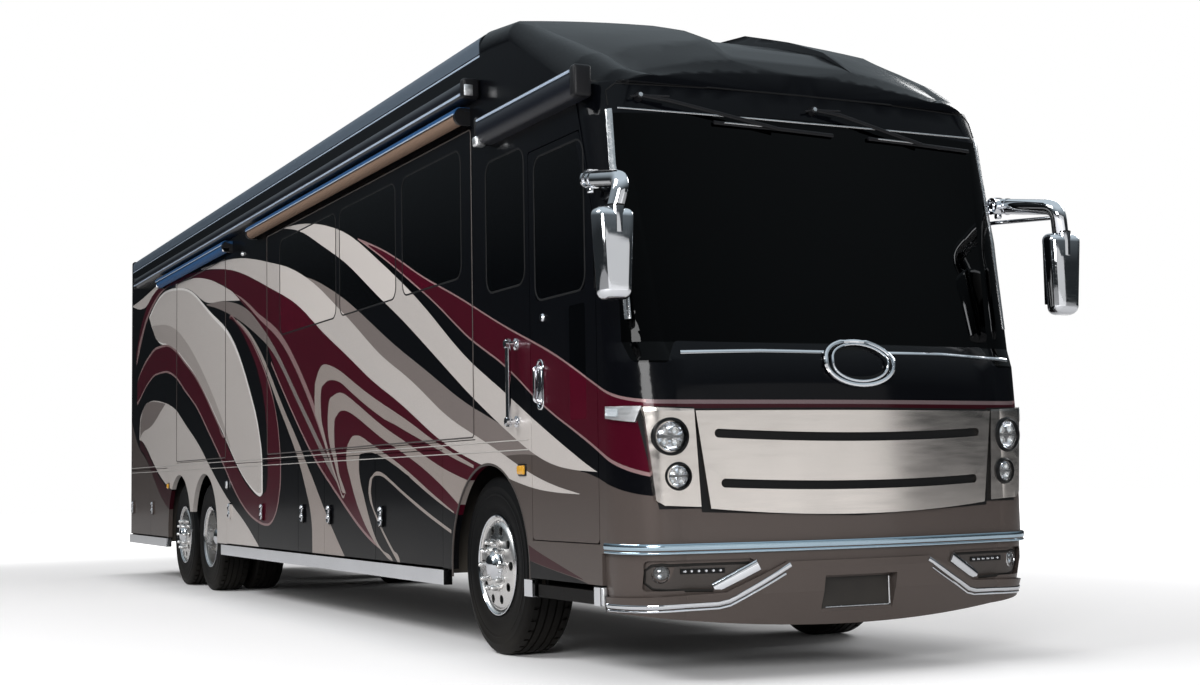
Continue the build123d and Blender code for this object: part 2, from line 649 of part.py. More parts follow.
# ------------------------------------------------------------------ rear cap and engine lid
LID_HALF = 760
LID_Z = (760, 1700)
LID_R = 60
REAR_ROUND = 70
TAIL_LAMP = (245, 1650, 130, 520)  # inset from the side, height, width and height of a lamp
TAIL_LAMP_R = 40
with BuildPart() as rear_cap:
    with BuildSketch(Plane.XY.offset(SKIRT_Z)):
        with Locations(((sta(REAR_FACE_STA) + sta(REAR_CAP_STA)) / 2, 0)):
            Rectangle(REAR_CAP_STA - REAR_FACE_STA, 2 * BODY_HALF)
    extrude(amount=ROOF_EDGE_Z - SKIRT_Z)
    fillet(rear_cap.edges().filter_by(Axis.Z).group_by(Axis.X)[0], REAR_ROUND)
    fillet(rear_cap.faces().sort_by(Axis.Z)[-1].edges().group_by(Axis.X)[0], REAR_ROUND / 2)
    add_block(
        sta(REAR_FACE_STA) + WALL, sta(REAR_CAP_STA), REAR_ROUND - BODY_HALF, BODY_HALF - REAR_ROUND,
        SKIRT_Z, ROOF_EDGE_Z - WALL, mode=Mode.SUBTRACT,
    )
    with BuildSketch(Plane.YZ.offset(sta(REAR_FACE_STA) - 1)):
        with Locations((0, sum(LID_Z) / 2)):
            RectangleRounded(2 * LID_HALF, LID_Z[1] - LID_Z[0], LID_R)
    extrude(amount=WALL + 2, mode=Mode.SUBTRACT)
save(rear_cap, "rear_cap")

with BuildPart() as engine_lid:
    with BuildSketch(Plane.YZ.offset(sta(REAR_FACE_STA))):
        with Locations((0, sum(LID_Z) / 2)):
            RectangleRounded(2 * (LID_HALF - SEAM), LID_Z[1] - LID_Z[0] - 2 * SEAM, LID_R - SEAM)
    extrude(amount=PANEL)
save(engine_lid, "engine_lid")

with BuildPart() as tail_lamps:
    lamp_in, height, width, tall = TAIL_LAMP
    with BuildSketch(Plane.YZ.offset(sta(REAR_FACE_STA) - TRIM_PROUD)):
        with Locations((lamp_in - BODY_HALF, height), (BODY_HALF - lamp_in, height)):
            RectangleRounded(width, tall, TAIL_LAMP_R)
    extrude(amount=TRIM_PROUD)
save(tail_lamps, "tail_lamps")

# ------------------------------------------------------------------ rear bumper
REAR_BUMPER_Z = 375
with BuildPart() as rear_bumper:
    add_block(
        sta(REAR_STA), sta(REAR_FACE_STA) + WALL, REAR_ROUND / 2 - BODY_HALF, BODY_HALF - REAR_ROUND / 2,
        REAR_BUMPER_Z, SKIRT_Z,
    )
save(rear_bumper, "rear_bumper")

# ------------------------------------------------------------------ chassis
RAIL_STA = (REAR_CAP_STA, 1540)
RAIL_MID = RAIL_OUT - RAIL_W / 2
CROSS_STA = [REAR_CAP_STA + 60, TAG_STA - 960, DRIVE_STA - 600, DRIVE_STA + 1200, -4000, -1500, 900, 1480]
CROSS_W = 90
CROSS_H = 130
with BuildPart() as chassis_rails:
    for way in (RIGHT, LEFT):
        add_block(
            sta(RAIL_STA[0]), sta(RAIL_STA[1]), way * (RAIL_OUT - RAIL_W), way * RAIL_OUT, RAIL_Z0, DECK_Z0
        )
save(chassis_rails, "chassis_rails")

with BuildPart() as crossmembers:
    for station in CROSS_STA:
        add_block(
            sta(station) - CROSS_W / 2, sta(station) + CROSS_W / 2,
            RAIL_W - RAIL_OUT, RAIL_OUT - RAIL_W, RAIL_Z0, RAIL_Z0 + CROSS_H,
        )
save(crossmembers, "crossmembers")

# ------------------------------------------------------------------ hitch
RECEIVER = 51  # inside of the hitch receiver, 2 inch class
RECEIVER_WALL = 6.5
RECEIVER_OUT = RECEIVER + 2 * RECEIVER_WALL
RECEIVER_LONG = 180
RECEIVER_Z = REAR_BUMPER_Z - 45
HITCH_PIN_R = 8
HITCH_PIN_IN = 65  # pin hole from the receiver's mouth
HITCH_BEAM = 80
with BuildPart() as hitch:
    beam_x = sta(REAR_STA) + RECEIVER_LONG
    low_z, high_z = RECEIVER_Z - RECEIVER_OUT / 2, RECEIVER_Z + RECEIVER_OUT / 2
    add_block(sta(REAR_STA), beam_x, -RECEIVER_OUT / 2, RECEIVER_OUT / 2, low_z, high_z)
    add_block(beam_x, beam_x + HITCH_BEAM, -RAIL_MID, RAIL_MID, low_z, high_z)
    for way in (RIGHT, LEFT):
        add_block(beam_x, beam_x + HITCH_BEAM, way * (RAIL_OUT - RAIL_W), way * RAIL_MID, low_z, RAIL_Z0)
    add_block(
        sta(REAR_STA) - 1, beam_x, -RECEIVER / 2, RECEIVER / 2,
        RECEIVER_Z - RECEIVER / 2, RECEIVER_Z + RECEIVER / 2, mode=Mode.SUBTRACT,
    )
    with BuildSketch(Plane.XZ.offset(-RECEIVER_OUT)):
        with Locations((sta(REAR_STA) + HITCH_PIN_IN, RECEIVER_Z)):
            Circle(HITCH_PIN_R)
    extrude(amount=2 * RECEIVER_OUT, mode=Mode.SUBTRACT)
save(hitch, "hitch")

# ------------------------------------------------------------------ deck with entry steps
STEP_STA = (760, 1520)
STEP_IN = BODY_HALF - 735  # inner edge of the step well
STEP_PLATE = 35
STEPS = [(BODY_HALF - 45, BODY_HALF - 345, 720), (BODY_HALF - 345, STEP_IN + 40, 980)]  # outer, inner, height
STEP_RISE = 290
TRAY_Z = (385, 455)  # folding step in its tray under the door
TRAY_HALF = (BODY_HALF - 400, BODY_HALF - 20)
with BuildPart() as deck:
    add_block(sta(REAR_CAP_STA), sta(CAP_SEAM_STA), WALL - BODY_HALF, BODY_HALF - WALL, DECK_Z0, DECK_Z1)
    add_block(
        sta(STEP_STA[0]), sta(STEP_STA[1]), WALL - BODY_HALF, -STEP_IN, DECK_Z0 - 1, DECK_Z1 + 1,
        mode=Mode.SUBTRACT,
    )
    for outer, inner, height in STEPS:
        add_block(sta(STEP_STA[0]), sta(STEP_STA[1]), -outer, -inner, height, height + STEP_PLATE)
        add_block(sta(STEP_STA[0]), sta(STEP_STA[1]), -inner - STEP_PLATE, -inner, height, height + STEP_RISE)
    for station in STEP_STA:
        add_block(sta(station) - STEP_PLATE, sta(station), WALL - BODY_HALF, -STEP_IN, STEPS[0][2], DECK_Z1)
        add_block(
            sta(station) - STEP_PLATE, sta(station), -TRAY_HALF[1] + WALL, -TRAY_HALF[0], TRAY_Z[0], STEPS[0][2]
        )
    add_block(sta(STEP_STA[0]) - STEP_PLATE, sta(STEP_STA[1]), -TRAY_HALF[1], -TRAY_HALF[0], *TRAY_Z)
save(deck, "deck")

# ------------------------------------------------------------------ bays
BAY_IN = RAIL_OUT + 10
BAY_OUT = BODY_HALF - PANEL - 9
BULKHEAD_IN = 10  # end bulkheads from the ends of a run
with BuildPart() as bays:
    for side_name, runs in BAY_EDGES.items():
        way = SIDES[side_name]
        for edges in runs:
            front, rear = edges[0] - BULKHEAD_IN, edges[-1] + BULKHEAD_IN + BAY_PLATE
            add_block(
                sta(rear) - BAY_PLATE, sta(front), way * BAY_IN, way * BAY_OUT, BAY_FLOOR_Z, BAY_FLOOR_Z + BAY_PLATE
            )
            for station in (front, *edges[1:-1], rear):
                add_block(
                    sta(station) - BAY_PLATE, sta(station), way * BAY_IN, way * BAY_OUT, BAY_FLOOR_Z, DECK_Z0
                )
save(bays, "bays")

# ------------------------------------------------------------------ wheel wells
WELL_FRONT_STA = 690
WELL_IN = RAIL_OUT + 40
WELL_PLATE = 15
WELL_LOW_Z = TYRE_R + 225  # the axles pass below the inner walls
with BuildPart() as wheel_wells:
    for way in (RIGHT, LEFT):
        inner = (way * WELL_IN, way * (WELL_IN + WELL_PLATE))
        add_block(sta(REAR_RUN[0]), sta(FRONT_RUN[1]), *inner, WELL_LOW_Z, DECK_Z0)
        add_block(sta(FRONT_RUN[0]), sta(WELL_FRONT_STA), *inner, WELL_LOW_Z, DECK_Z0)
        add_block(
            sta(WELL_FRONT_STA), sta(WELL_FRONT_STA) + WELL_PLATE, way * WELL_IN, way * (BODY_HALF - WALL),
            BAY_FLOOR_Z, DECK_Z0,
        )
save(wheel_wells, "wheel_wells")

# ------------------------------------------------------------------ rocker rails
ROCKER_Z = (385, 480)
# spans between a rear and a front station: under the bays, behind the tag wheels, and the two
# brackets beside the entry step
ROCKER_SPANS = {
    "right": [(FRONT_RUN[1] - 170, -710), (REAR_CAP_STA - 30, TAG_STA - 610), (600, 715), (1525, CAP_SEAM_STA - 2)],
    "left": [(FRONT_RUN[1] - 170, -710), (REAR_CAP_STA - 30, TAG_STA - 610)],
}
with BuildPart() as rocker_rails:
    for side_name, spans in ROCKER_SPANS.items():
        way = SIDES[side_name]
        for rear, front in spans:
            add_block(sta(rear), sta(front), way * BAY_OUT, way * (BODY_HALF + TRIM_PROUD), *ROCKER_Z)
save(rocker_rails, "rocker_rails")

# ------------------------------------------------------------------ axles
AXLE_R = 85
BEAM_HALF = 60
BEAM_Z = (TYRE_R - 50, TYRE_R + 40)
PISTON_R = 60
PISTON_H = 130
BAG_R = 75  # air springs, at their ride height
DIFF_R = 190
EYE_R = 55
EYE_H = 110
SPINDLE_END = WHEEL_Y + 60
EAR_INSET = KINGPIN_Y + 45  # the beam ends short of the knuckle's upright here
with BuildPart() as axles:
    # front beam with the eyes for its kingpins
    add_block(sta(0) - BEAM_HALF, sta(0) + BEAM_HALF, -KINGPIN_Y, KINGPIN_Y, *BEAM_Z)
    with BuildSketch(Plane.XY.offset(TYRE_R - EYE_H / 2)):
        with Locations((sta(0), -KINGPIN_Y), (sta(0), KINGPIN_Y)):
            Circle(EYE_R)
    extrude(amount=EYE_H)
    with BuildSketch(Plane.XY.offset(TYRE_R - EYE_H)):
        with Locations((sta(0), -KINGPIN_Y), (sta(0), KINGPIN_Y)):
            Circle(KINGPIN_R + BEARING_GAP)
    extrude(amount=2 * EYE_H, mode=Mode.SUBTRACT)
    for way in (RIGHT, LEFT):
        add_block(
            sta(0) - EYE_R, sta(0) + EYE_R, way * EAR_INSET, way * (EAR_INSET + EYE_R),
            TYRE_R - EYE_H, TYRE_R + EYE_H, mode=Mode.SUBTRACT,
        )
    # drive and tag axles, each a tube with its spindles
    for station in (DRIVE_STA, TAG_STA):
        for half, radius in ((SPINDLE_END, HUB_BORE_R - BEARING_GAP), (RAIL_OUT, AXLE_R)):
            with BuildSketch(Plane.XZ.offset(-half)):
                with Locations((sta(station), TYRE_R)):
                    Circle(radius)
            extrude(amount=2 * half)
    with BuildSketch(Plane.YZ.offset(sta(DRIVE_STA) - DIFF_R)):
        with Locations((0, TYRE_R)):
            Circle(DIFF_R)
    extrude(amount=2 * DIFF_R)
    # air springs up to the rails
    for station in (0, DRIVE_STA, TAG_STA):
        for low, high, radius in ((0, PISTON_H, PISTON_R), (PISTON_H, RAIL_Z0 - BEAM_Z[1], BAG_R)):
            with BuildSketch(Plane.XY.offset(BEAM_Z[1] + low)):
                with Locations((sta(station), -RAIL_MID), (sta(station), RAIL_MID)):
                    Circle(radius)
            extrude(amount=high - low)
save(axles, "axles")

# ------------------------------------------------------------------ knuckles
EAR_GAP = 3
EAR_T = 32
for name, side in SIDES.items():
    with BuildPart() as knuckle:
        for low in (TYRE_R + EYE_H / 2 + EAR_GAP, TYRE_R - EYE_H / 2 - EAR_GAP - EAR_T):
            with BuildSketch(Plane.XY.offset(low)):
                with Locations((sta(0), side * KINGPIN_Y)):
                    Circle(EYE_R)
                with Locations((sta(0), side * (KINGPIN_Y + EYE_R / 2 + 10))):
                    Rectangle(2 * EYE_R, EYE_R + 20)
            extrude(amount=EAR_T)
        add_block(
            sta(0) - EYE_R, sta(0) + EYE_R, side * (KINGPIN_Y + EYE_R + 3), side * (KINGPIN_Y + EYE_R + 20),
            TYRE_R - EYE_H / 2 - EAR_GAP - EAR_T, TYRE_R + EYE_H / 2 + EAR_GAP + EAR_T,
        )
        with BuildSketch(Plane.XY.offset(TYRE_R - EYE_H / 2 - EAR_GAP - EAR_T)):
            with Locations((sta(0), side * KINGPIN_Y)):
                Circle(KINGPIN_R)
        extrude(amount=EYE_H + 2 * EAR_GAP + 2 * EAR_T)
        with BuildSketch(side_plane(side, KINGPIN_Y + EYE_R + 5)):
            with Locations((sta(0), TYRE_R)):
                Circle(HUB_BORE_R - BEARING_GAP)
        extrude(amount=-side * (SPINDLE_END - KINGPIN_Y - EYE_R - 5))
    save(knuckle, f"knuckle_{name}")

# ------------------------------------------------------------------ wheels and tyres
TYRE_SHOULDER = 40
# wheel profiles: radius and distance outwards from the wheel's centre plane
RIM_T = 14
HUB_R = 108
STEER_HUB_OUT = 150
HAND_HOLES = 10
HAND_HOLE_R = 30
HAND_HOLE_PCR = 205


def tyre_ring(side, centre):
    """One tyre about the axle line through the origin of its own plane."""
    w = TYRE_HALF_W
    with BuildSketch(Plane.XY) as ring:
        with BuildLine():
            Polyline(
                (RIM_R, w - 30), (FLANGE_R + 8, w - 12), (FLANGE_R + 110, w),
                (TYRE_R - 60, w - 6), (TYRE_R - 12, w - 22), (TYRE_R, w - TYRE_SHOULDER),
                (TYRE_R, TYRE_SHOULDER - w), (TYRE_R - 12, 22 - w), (TYRE_R - 60, 6 - w),
                (FLANGE_R + 110, -w), (FLANGE_R + 8, 12 - w), (RIM_R, 30 - w),
                close=True,
            )
        make_face()
    return ring.sketch


def axle_plane(station, side, reach):
    """Plane whose Y runs outwards along an axle and whose X runs up, for wheel profiles."""
    return Plane(origin=(sta(station), side * reach, TYRE_R), x_dir=(0, 0, 1), z_dir=(-side, 0, 0))


def save_wheel(name, side, station, rims):
    """Tyres and rims of one wheel body; rims lists the centre plane and the disc of each."""
    with BuildPart() as tyre:
        for reach, _ in rims:
            plane = axle_plane(station, side, reach)
            with BuildSketch(plane):
                add(tyre_ring(side, reach))
            revolve(axis=Axis(plane.origin, (0, 1, 0)))
    save(tyre, f"tyre_{name}")
    with BuildPart() as rim:
        for reach, profile in rims:
            plane = axle_plane(station, side, reach)
            with BuildSketch(plane):
                with BuildLine():
                    Polyline(*profile, close=True)
                make_face()
            revolve(axis=Axis(plane.origin, (0, 1, 0)))
        outer_reach = rims[0][0]
        with BuildSketch(side_plane(side, outer_reach - TYRE_HALF_W)):
            with Locations((sta(station), TYRE_R)):
                with PolarLocations(HAND_HOLE_PCR, HAND_HOLES):
                    Circle(HAND_HOLE_R)
        extrude(amount=-side * 2 * TYRE_HALF_W, mode=Mode.SUBTRACT)
    save(rim, f"rim_{name}")


w = TYRE_HALF_W
FLAT_RIM = [
    (HUB_BORE_R, 20), (HUB_BORE_R, 120), (95, 150), (HUB_R, 150), (HUB_R, 84), (250, 70), (258, w - 26),
    (RIM_R - 4, w - 22), (FLANGE_R, w - 6), (FLANGE_R, w - 14), (RIM_R, w - 30), (RIM_R, 30 - w),
    (FLANGE_R, 14 - w), (FLANGE_R, 6 - w), (RIM_R - 12, 24 - w), (RIM_R - 16, 40), (HUB_R + 30, 56),
    (HUB_R, 20),
]
DISH_RIM = [
    (HUB_BORE_R, -150), (HUB_BORE_R, 10), (90, 40), (HUB_R, 40), (HUB_R, -60), (250, -84), (262, -40),
    (262, w - 30), (RIM_R - 4, w - 22), (FLANGE_R, w - 6), (FLANGE_R, w - 14), (RIM_R, w - 30),
    (RIM_R, 30 - w), (FLANGE_R, 14 - w), (FLANGE_R, 6 - w), (RIM_R - 12, 24 - w), (HUB_R + 20, -110),
    (HUB_R, -150),
]
INNER_RIM = [
    (HUB_BORE_R, 60), (HUB_BORE_R, w), (HUB_R, w), (255, w - 30), (RIM_R, w - 14), (RIM_R, 30 - w),
    (FLANGE_R, 14 - w), (FLANGE_R, 6 - w), (RIM_R - 14, 20 - w), (RIM_R - 14, w - 60), (HUB_R, 100),
    (HUB_R, 60),
]
for name, side in SIDES.items():
    save_wheel(f"front_{name}", side, 0, [(WHEEL_Y, FLAT_RIM)])
    save_wheel(f"tag_{name}", side, TAG_STA, [(WHEEL_Y, FLAT_RIM)])
    save_wheel(f"drive_{name}", side, DRIVE_STA, [(WHEEL_Y, DISH_RIM), (WHEEL_Y - DUAL_SPACING, INNER_RIM)])

# ------------------------------------------------------------------ engine
ENGINE_STA = (REAR_STA + 550, REAR_STA + 1800)
ENGINE_HALF = RAIL_OUT - RAIL_W - 20
ENGINE_Z = (560, DECK_Z0 - 25)
with BuildPart() as engine:
    add_block(sta(ENGINE_STA[0]), sta(ENGINE_STA[1]), -ENGINE_HALF, ENGINE_HALF, *ENGINE_Z)
save(engine, "engine")

# ------------------------------------------------------------------ cab
DASH_LEFT = BODY_HALF - 115
DASH_RIGHT = 520  # the entry well is beyond it
# profile of the dashboard: station, height over the deck
DASH = [(1230, 180), (1260, 295), (1420, 395), (1690, 355), (1690, 0), (1400, 0)]
DRIVER_Y = BODY_HALF - 675
WHEEL_AT = (1090, 330)  # steering wheel: station, height over the deck
WHEEL_RING = (225, 17)
WHEEL_LEAN = -62
COLUMN_R = 30
COLUMN_LONG = 330
with BuildPart() as dashboard:
    with BuildSketch(Plane.XZ.offset(-DASH_LEFT)):
        with BuildLine():
            Polyline(*[(sta(station), DECK_Z1 + up) for station, up in DASH], close=True)
        make_face()
    extrude(amount=DASH_LEFT + DASH_RIGHT)
    with Locations(Location((sta(WHEEL_AT[0]), DRIVER_Y, DECK_Z1 + WHEEL_AT[1]), (0, WHEEL_LEAN, 0))):
        Torus(*WHEEL_RING)
        Box(2 * WHEEL_RING[0], 2 * COLUMN_R, WHEEL_RING[1])
        Cylinder(COLUMN_R, COLUMN_LONG, align=(Align.CENTER, Align.CENTER, Align.MAX))
save(dashboard, "dashboard")

# cab seats: station of the cushion's front edge, distance from the centreline
CAB_SEATS = [(560, DRIVER_Y), (720, -DRIVER_Y)]
SEAT_LONG, SEAT_HALF = 480, 270
SEAT_Z = (330, 480)  # cushion over the deck
BACK_T = 120
BACK_TOP = 1180
PEDESTAL = (380, 120, 130)  # rear end, front end and half-width of the pedestal
with BuildPart() as cab_seats:
    for front, across in CAB_SEATS:
        left, right = across + SEAT_HALF, across - SEAT_HALF
        rear = sta(front) - SEAT_LONG
        add_block(rear, sta(front), right, left, DECK_Z1 + SEAT_Z[0], DECK_Z1 + SEAT_Z[1])
        add_block(rear - BACK_T, rear, right, left, DECK_Z1 + SEAT_Z[0], DECK_Z1 + BACK_TOP)
        add_block(
            sta(front) - PEDESTAL[0], sta(front) - PEDESTAL[1], across - PEDESTAL[2], across + PEDESTAL[2],
            DECK_Z1, DECK_Z1 + SEAT_Z[0],
        )
save(cab_seats, "cab_seats")

# ------------------------------------------------------------------ awnings
TOPPER_Z = (SLIDE_TOP_Z + 12, SLIDE_TOP_Z + 124)
TOPPER_DEEP = 105
# boxes: side, rear station, front station, low, high, depth
AWNINGS = [
    (RIGHT, TAG_STA - 2110, -20, SLIDE_TOP_Z + 147, SLIDE_TOP_Z + 272, 110),
    (RIGHT, DRIVE_STA + 2100, SLIDE_FRONT_STA - 20, *TOPPER_Z, TOPPER_DEEP),
    (RIGHT, TAG_STA - 810, DRIVE_STA + 1200, *TOPPER_Z, TOPPER_DEEP),
    (RIGHT, 120, DOOR_STA[1], 3060, 3235, TOPPER_DEEP),
    (LEFT, TAG_STA - 810, SLIDE_FRONT_STA - 20, *TOPPER_Z, TOPPER_DEEP),
]
with BuildPart() as awnings:
    for side, rear, front, low, high, depth in AWNINGS:
        add_block(sta(rear), sta(front), side * BODY_HALF, side * (BODY_HALF + depth), low, high)
save(awnings, "awnings")

# ------------------------------------------------------------------ mirrors
ARM_R = 42
ARM_OUT = BODY_HALF + 40
BOSS_STA, BOSS_R = 1655, 40
ARM_BEND = 70
# arm: station, distance out from the body side, height; the last point is in the head
ARM_ROUTE = [(1602, 40, 2612), (2100, 77, 2534), (2062, 120, 2330)]
STRUT_R = 13
STRUT_ROUTE = [(1640, -35, 2500), (2085, 85, 2470)]
HEAD = (FRONT_REACH - 65, BODY_HALF + 130, 2157)  # centre of a mirror's head
HEAD_SIZE = (130, 215, 470)
HEAD_R = 50
with BuildPart() as mirrors:
    for side in SIDES.values():
        for radius, ends in ((ARM_R, ARM_ROUTE), (STRUT_R, STRUT_ROUTE)):
            points = [(sta(station), side * (BODY_HALF + out), z) for station, out, z in ends]
            with BuildLine() as route:
                if len(points) > 2:
                    FilletPolyline(*points, radius=ARM_BEND)
                else:
                    Line(*points)
            with BuildSketch(Plane(origin=route.line @ 0, z_dir=route.line % 0)):
                Circle(radius)
            sweep(path=route.line)
        with BuildSketch(side_plane(side, BODY_HALF - WALL - 100)):
            with Locations((sta(BOSS_STA), ARM_ROUTE[0][2])):
                Circle(BOSS_R)
        extrude(amount=-side * (ARM_OUT - BODY_HALF + WALL + 100))
        with BuildSketch(Plane.XY.offset(HEAD[2] - HEAD_SIZE[2] / 2)):
            with Locations((sta(HEAD[0]), side * HEAD[1])):
                RectangleRounded(HEAD_SIZE[0], HEAD_SIZE[1], HEAD_R)
        extrude(amount=HEAD_SIZE[2])
    add(outer_nose, mode=Mode.SUBTRACT)
save(mirrors, "mirrors")

# ------------------------------------------------------------------ roof units
ROOF_UNITS = [-2200, -5600, DRIVE_STA - 1400]
UNIT_HALF_LONG, UNIT_HALF_W, UNIT_TALL = 380, 330, 180
with BuildPart() as roof_units:
    for station in ROOF_UNITS:
        add_block(
            sta(station) - UNIT_HALF_LONG, sta(station) + UNIT_HALF_LONG, -UNIT_HALF_W, UNIT_HALF_W,
            ROOF_TOP_Z - 20, ROOF_TOP_Z + UNIT_TALL,
        )
    add(roof.part, mode=Mode.SUBTRACT)
save(roof_units, "roof_units")
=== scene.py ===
# %% [markdown]
# # A bus-type motorhome
# A motorhome of this class is a steel chassis with three axles, and a body of flat sandwich walls
# between two moulded caps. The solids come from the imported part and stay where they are. This
# script gives them their finishes and adds what a plain solid lacks, such as tread, lug nuts,
# lamp reflectors, mirrors, trim and cushions. It could be one long list of commands, but it is
# cut into short cells, so that each can be read, run and changed by itself.

# %% Load the solids
import math

import bmesh
import bpy
from mathutils import Matrix, Vector
from mathutils.bvhtree import BVHTree


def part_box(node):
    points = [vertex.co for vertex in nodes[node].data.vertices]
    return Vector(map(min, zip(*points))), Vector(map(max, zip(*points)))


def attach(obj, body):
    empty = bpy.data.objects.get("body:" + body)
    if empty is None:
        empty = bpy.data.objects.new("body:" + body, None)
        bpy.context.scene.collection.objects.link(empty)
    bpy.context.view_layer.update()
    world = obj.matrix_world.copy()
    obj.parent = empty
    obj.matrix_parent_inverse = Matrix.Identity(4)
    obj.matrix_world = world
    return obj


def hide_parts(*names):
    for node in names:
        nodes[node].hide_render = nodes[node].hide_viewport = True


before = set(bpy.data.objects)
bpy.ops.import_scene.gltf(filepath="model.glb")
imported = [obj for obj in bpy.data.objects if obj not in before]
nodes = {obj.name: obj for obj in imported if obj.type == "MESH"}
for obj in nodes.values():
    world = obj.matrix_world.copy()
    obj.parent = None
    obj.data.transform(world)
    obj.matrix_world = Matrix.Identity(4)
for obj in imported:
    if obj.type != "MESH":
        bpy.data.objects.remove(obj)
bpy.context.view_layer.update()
BODY = "coach"

# %% [markdown]
# ## Places on the vehicle
# Coach builders measure along the vehicle from the front axle, so the script does too. A helper
# turns such a station into the frame's own X. The axle is read from the box round the front rim,
# which keeps every place right if the part is packed again with another length.

# %% Stations
AXLE_X = sum(corner[0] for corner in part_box("rim_front_right")) / 2
HALF_WIDTH = -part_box("side_wall_right")[0][1]
SIDES = {"right": -1, "left": 1}


def station(ahead):
    """X of a place this far ahead of the front axle, in metres."""
    return AXLE_X + ahead


print("front axle at", round(AXLE_X, 3), "half width", round(HALF_WIDTH, 3))

# %% [markdown]
# ## The camera
# The vehicle is seen from its kerb side front corner, from the eye height of a low tripod. A
# camera can be aimed at a target or turned by angles. Angles are used here, because a slight roll
# and an upward tilt belong to the view, and neither comes from a target.

# %% Camera
EYE = (station(9.583), -5.133, 1.037)
HEADING, UPWARD, ROLL = 64.267, 4.611, -1.014
camera = bpy.data.objects.new("eye", bpy.data.cameras.new("eye"))
bpy.context.collection.objects.link(camera)
camera.data.sensor_width = 36
camera.data.lens = 51.0
camera.data.clip_end = 200
camera.matrix_world = (
    Matrix.Translation(EYE)
    @ Matrix.Rotation(math.radians(HEADING), 4, "Z")
    @ Matrix.Rotation(math.radians(90 + UPWARD), 4, "X")
    @ Matrix.Rotation(math.radians(ROLL), 4, "Z")
)
bpy.context.scene.camera = camera
bpy.context.scene.view_settings.view_transform = "Standard"
print("camera at", [round(value, 2) for value in EYE])

# %% [markdown]
# ## Building with nodes
# A material is a small circuit of nodes. Three helpers keep the circuits short. One turns a
# colour as a paint chart gives it into the linear numbers that the renderer works with, one
# places a node and fills its inputs, and one starts a material with its plain values set on the
# shader's own sockets, where an export can read them.

# %% Node helpers


def chart(red, green, blue):
    """A colour from a chart, 0 to 255, as linear numbers."""
    return tuple((value / 255) ** 2.2 for value in (red, green, blue)) + (1.0,)


def put(tree, kind, inputs=None, **settings):
    """Place a node; an input that is a socket is linked, and any other is set."""
    made = tree.nodes.new("ShaderNode" + kind)
    for name, value in settings.items():
        setattr(made, name, value)
    for key, value in (inputs or {}).items():
        if isinstance(value, bpy.types.NodeSocket):
            tree.links.new(value, made.inputs[key])
        else:
            made.inputs[key].default_value = value
    return made


def start_material(name, colour, roughness, **plain):
    """A new material and its shader, with plain values on the shader's sockets."""
    made = bpy.data.materials.new(name)
    made.use_nodes = True
    shader = made.node_tree.nodes["Principled BSDF"]
    shader.inputs["Base Color"].default_value = chart(*colour)
    shader.inputs["Roughness"].default_value = roughness
    for socket, value in plain.items():
        shader.inputs[socket.replace("_", " ")].default_value = value
    return made, made.node_tree, shader


def feed(tree, shader, **sources):
    """Link sockets to a shader's inputs."""
    for name, source in sources.items():
        tree.links.new(source, shader.inputs[name.replace("_", " ")])


def start_group(name, inputs, outputs):
    """A shader node group with named sockets, and its two end nodes."""
    tree = bpy.data.node_groups.new(name, "ShaderNodeTree")
    for way, sockets in (("INPUT", inputs), ("OUTPUT", outputs)):
        for label, kind, value in sockets:
            socket = tree.interface.new_socket(label, in_out=way, socket_type="NodeSocket" + kind)
            if value is not None:
                socket.default_value = value
    return tree, tree.nodes.new("NodeGroupInput"), tree.nodes.new("NodeGroupOutput")


def use_group(tree, group, **inputs):
    """Place a group in a material, with values or links for its inputs."""
    made = put(tree, "Group", node_tree=group)
    for name, value in inputs.items():
        socket = made.inputs[name.replace("_", " ")]
        if isinstance(value, bpy.types.NodeSocket):
            tree.links.new(value, socket)
        else:
            socket.default_value = value
    return made


def blend_colour(tree, share, first, second):
    """Mix two colours and return the result's socket."""
    mix = put(tree, "Mix", data_type="RGBA")
    for index, value in ((0, share), (6, first), (7, second)):
        if isinstance(value, bpy.types.NodeSocket):
            tree.links.new(value, mix.inputs[index])
        else:
            mix.inputs[index].default_value = value
    return mix.outputs[2]


# %% [markdown]
# ## Shared effects: grain and road film
# No real surface has one colour and one gloss all over. Paint has a faint orange-peel ripple,
# moulded plastic a pebbled grain, and everything low on a vehicle carries a film of road dust.
# Each effect is a group that is built once and placed in many materials with its own values. A
# texture picture could do the same, but it would need an unwrapped mesh on every part.

# %% Grain group
grain, ends_in, ends_out = start_group(
    "Surface grain",
    [("Scale", "Float", 60.0), ("Strength", "Float", 0.1), ("Depth", "Float", 0.002)],
    [("Normal", "Vector", None), ("Mask", "Float", None)],
)
place = put(grain, "TexCoord")
speckle = put(
    grain, "TexNoise", {"Vector": place.outputs["Object"], "Scale": ends_in.outputs["Scale"], "Detail": 3.0}
)
ripple = put(
    grain,
    "Bump",
    {
        "Height": speckle.outputs[0],
        "Strength": ends_in.outputs["Strength"],
        "Distance": ends_in.outputs["Depth"],
    },
)
grain.links.new(ripple.outputs[0], ends_out.inputs["Normal"])
grain.links.new(speckle.outputs[0], ends_out.inputs["Mask"])

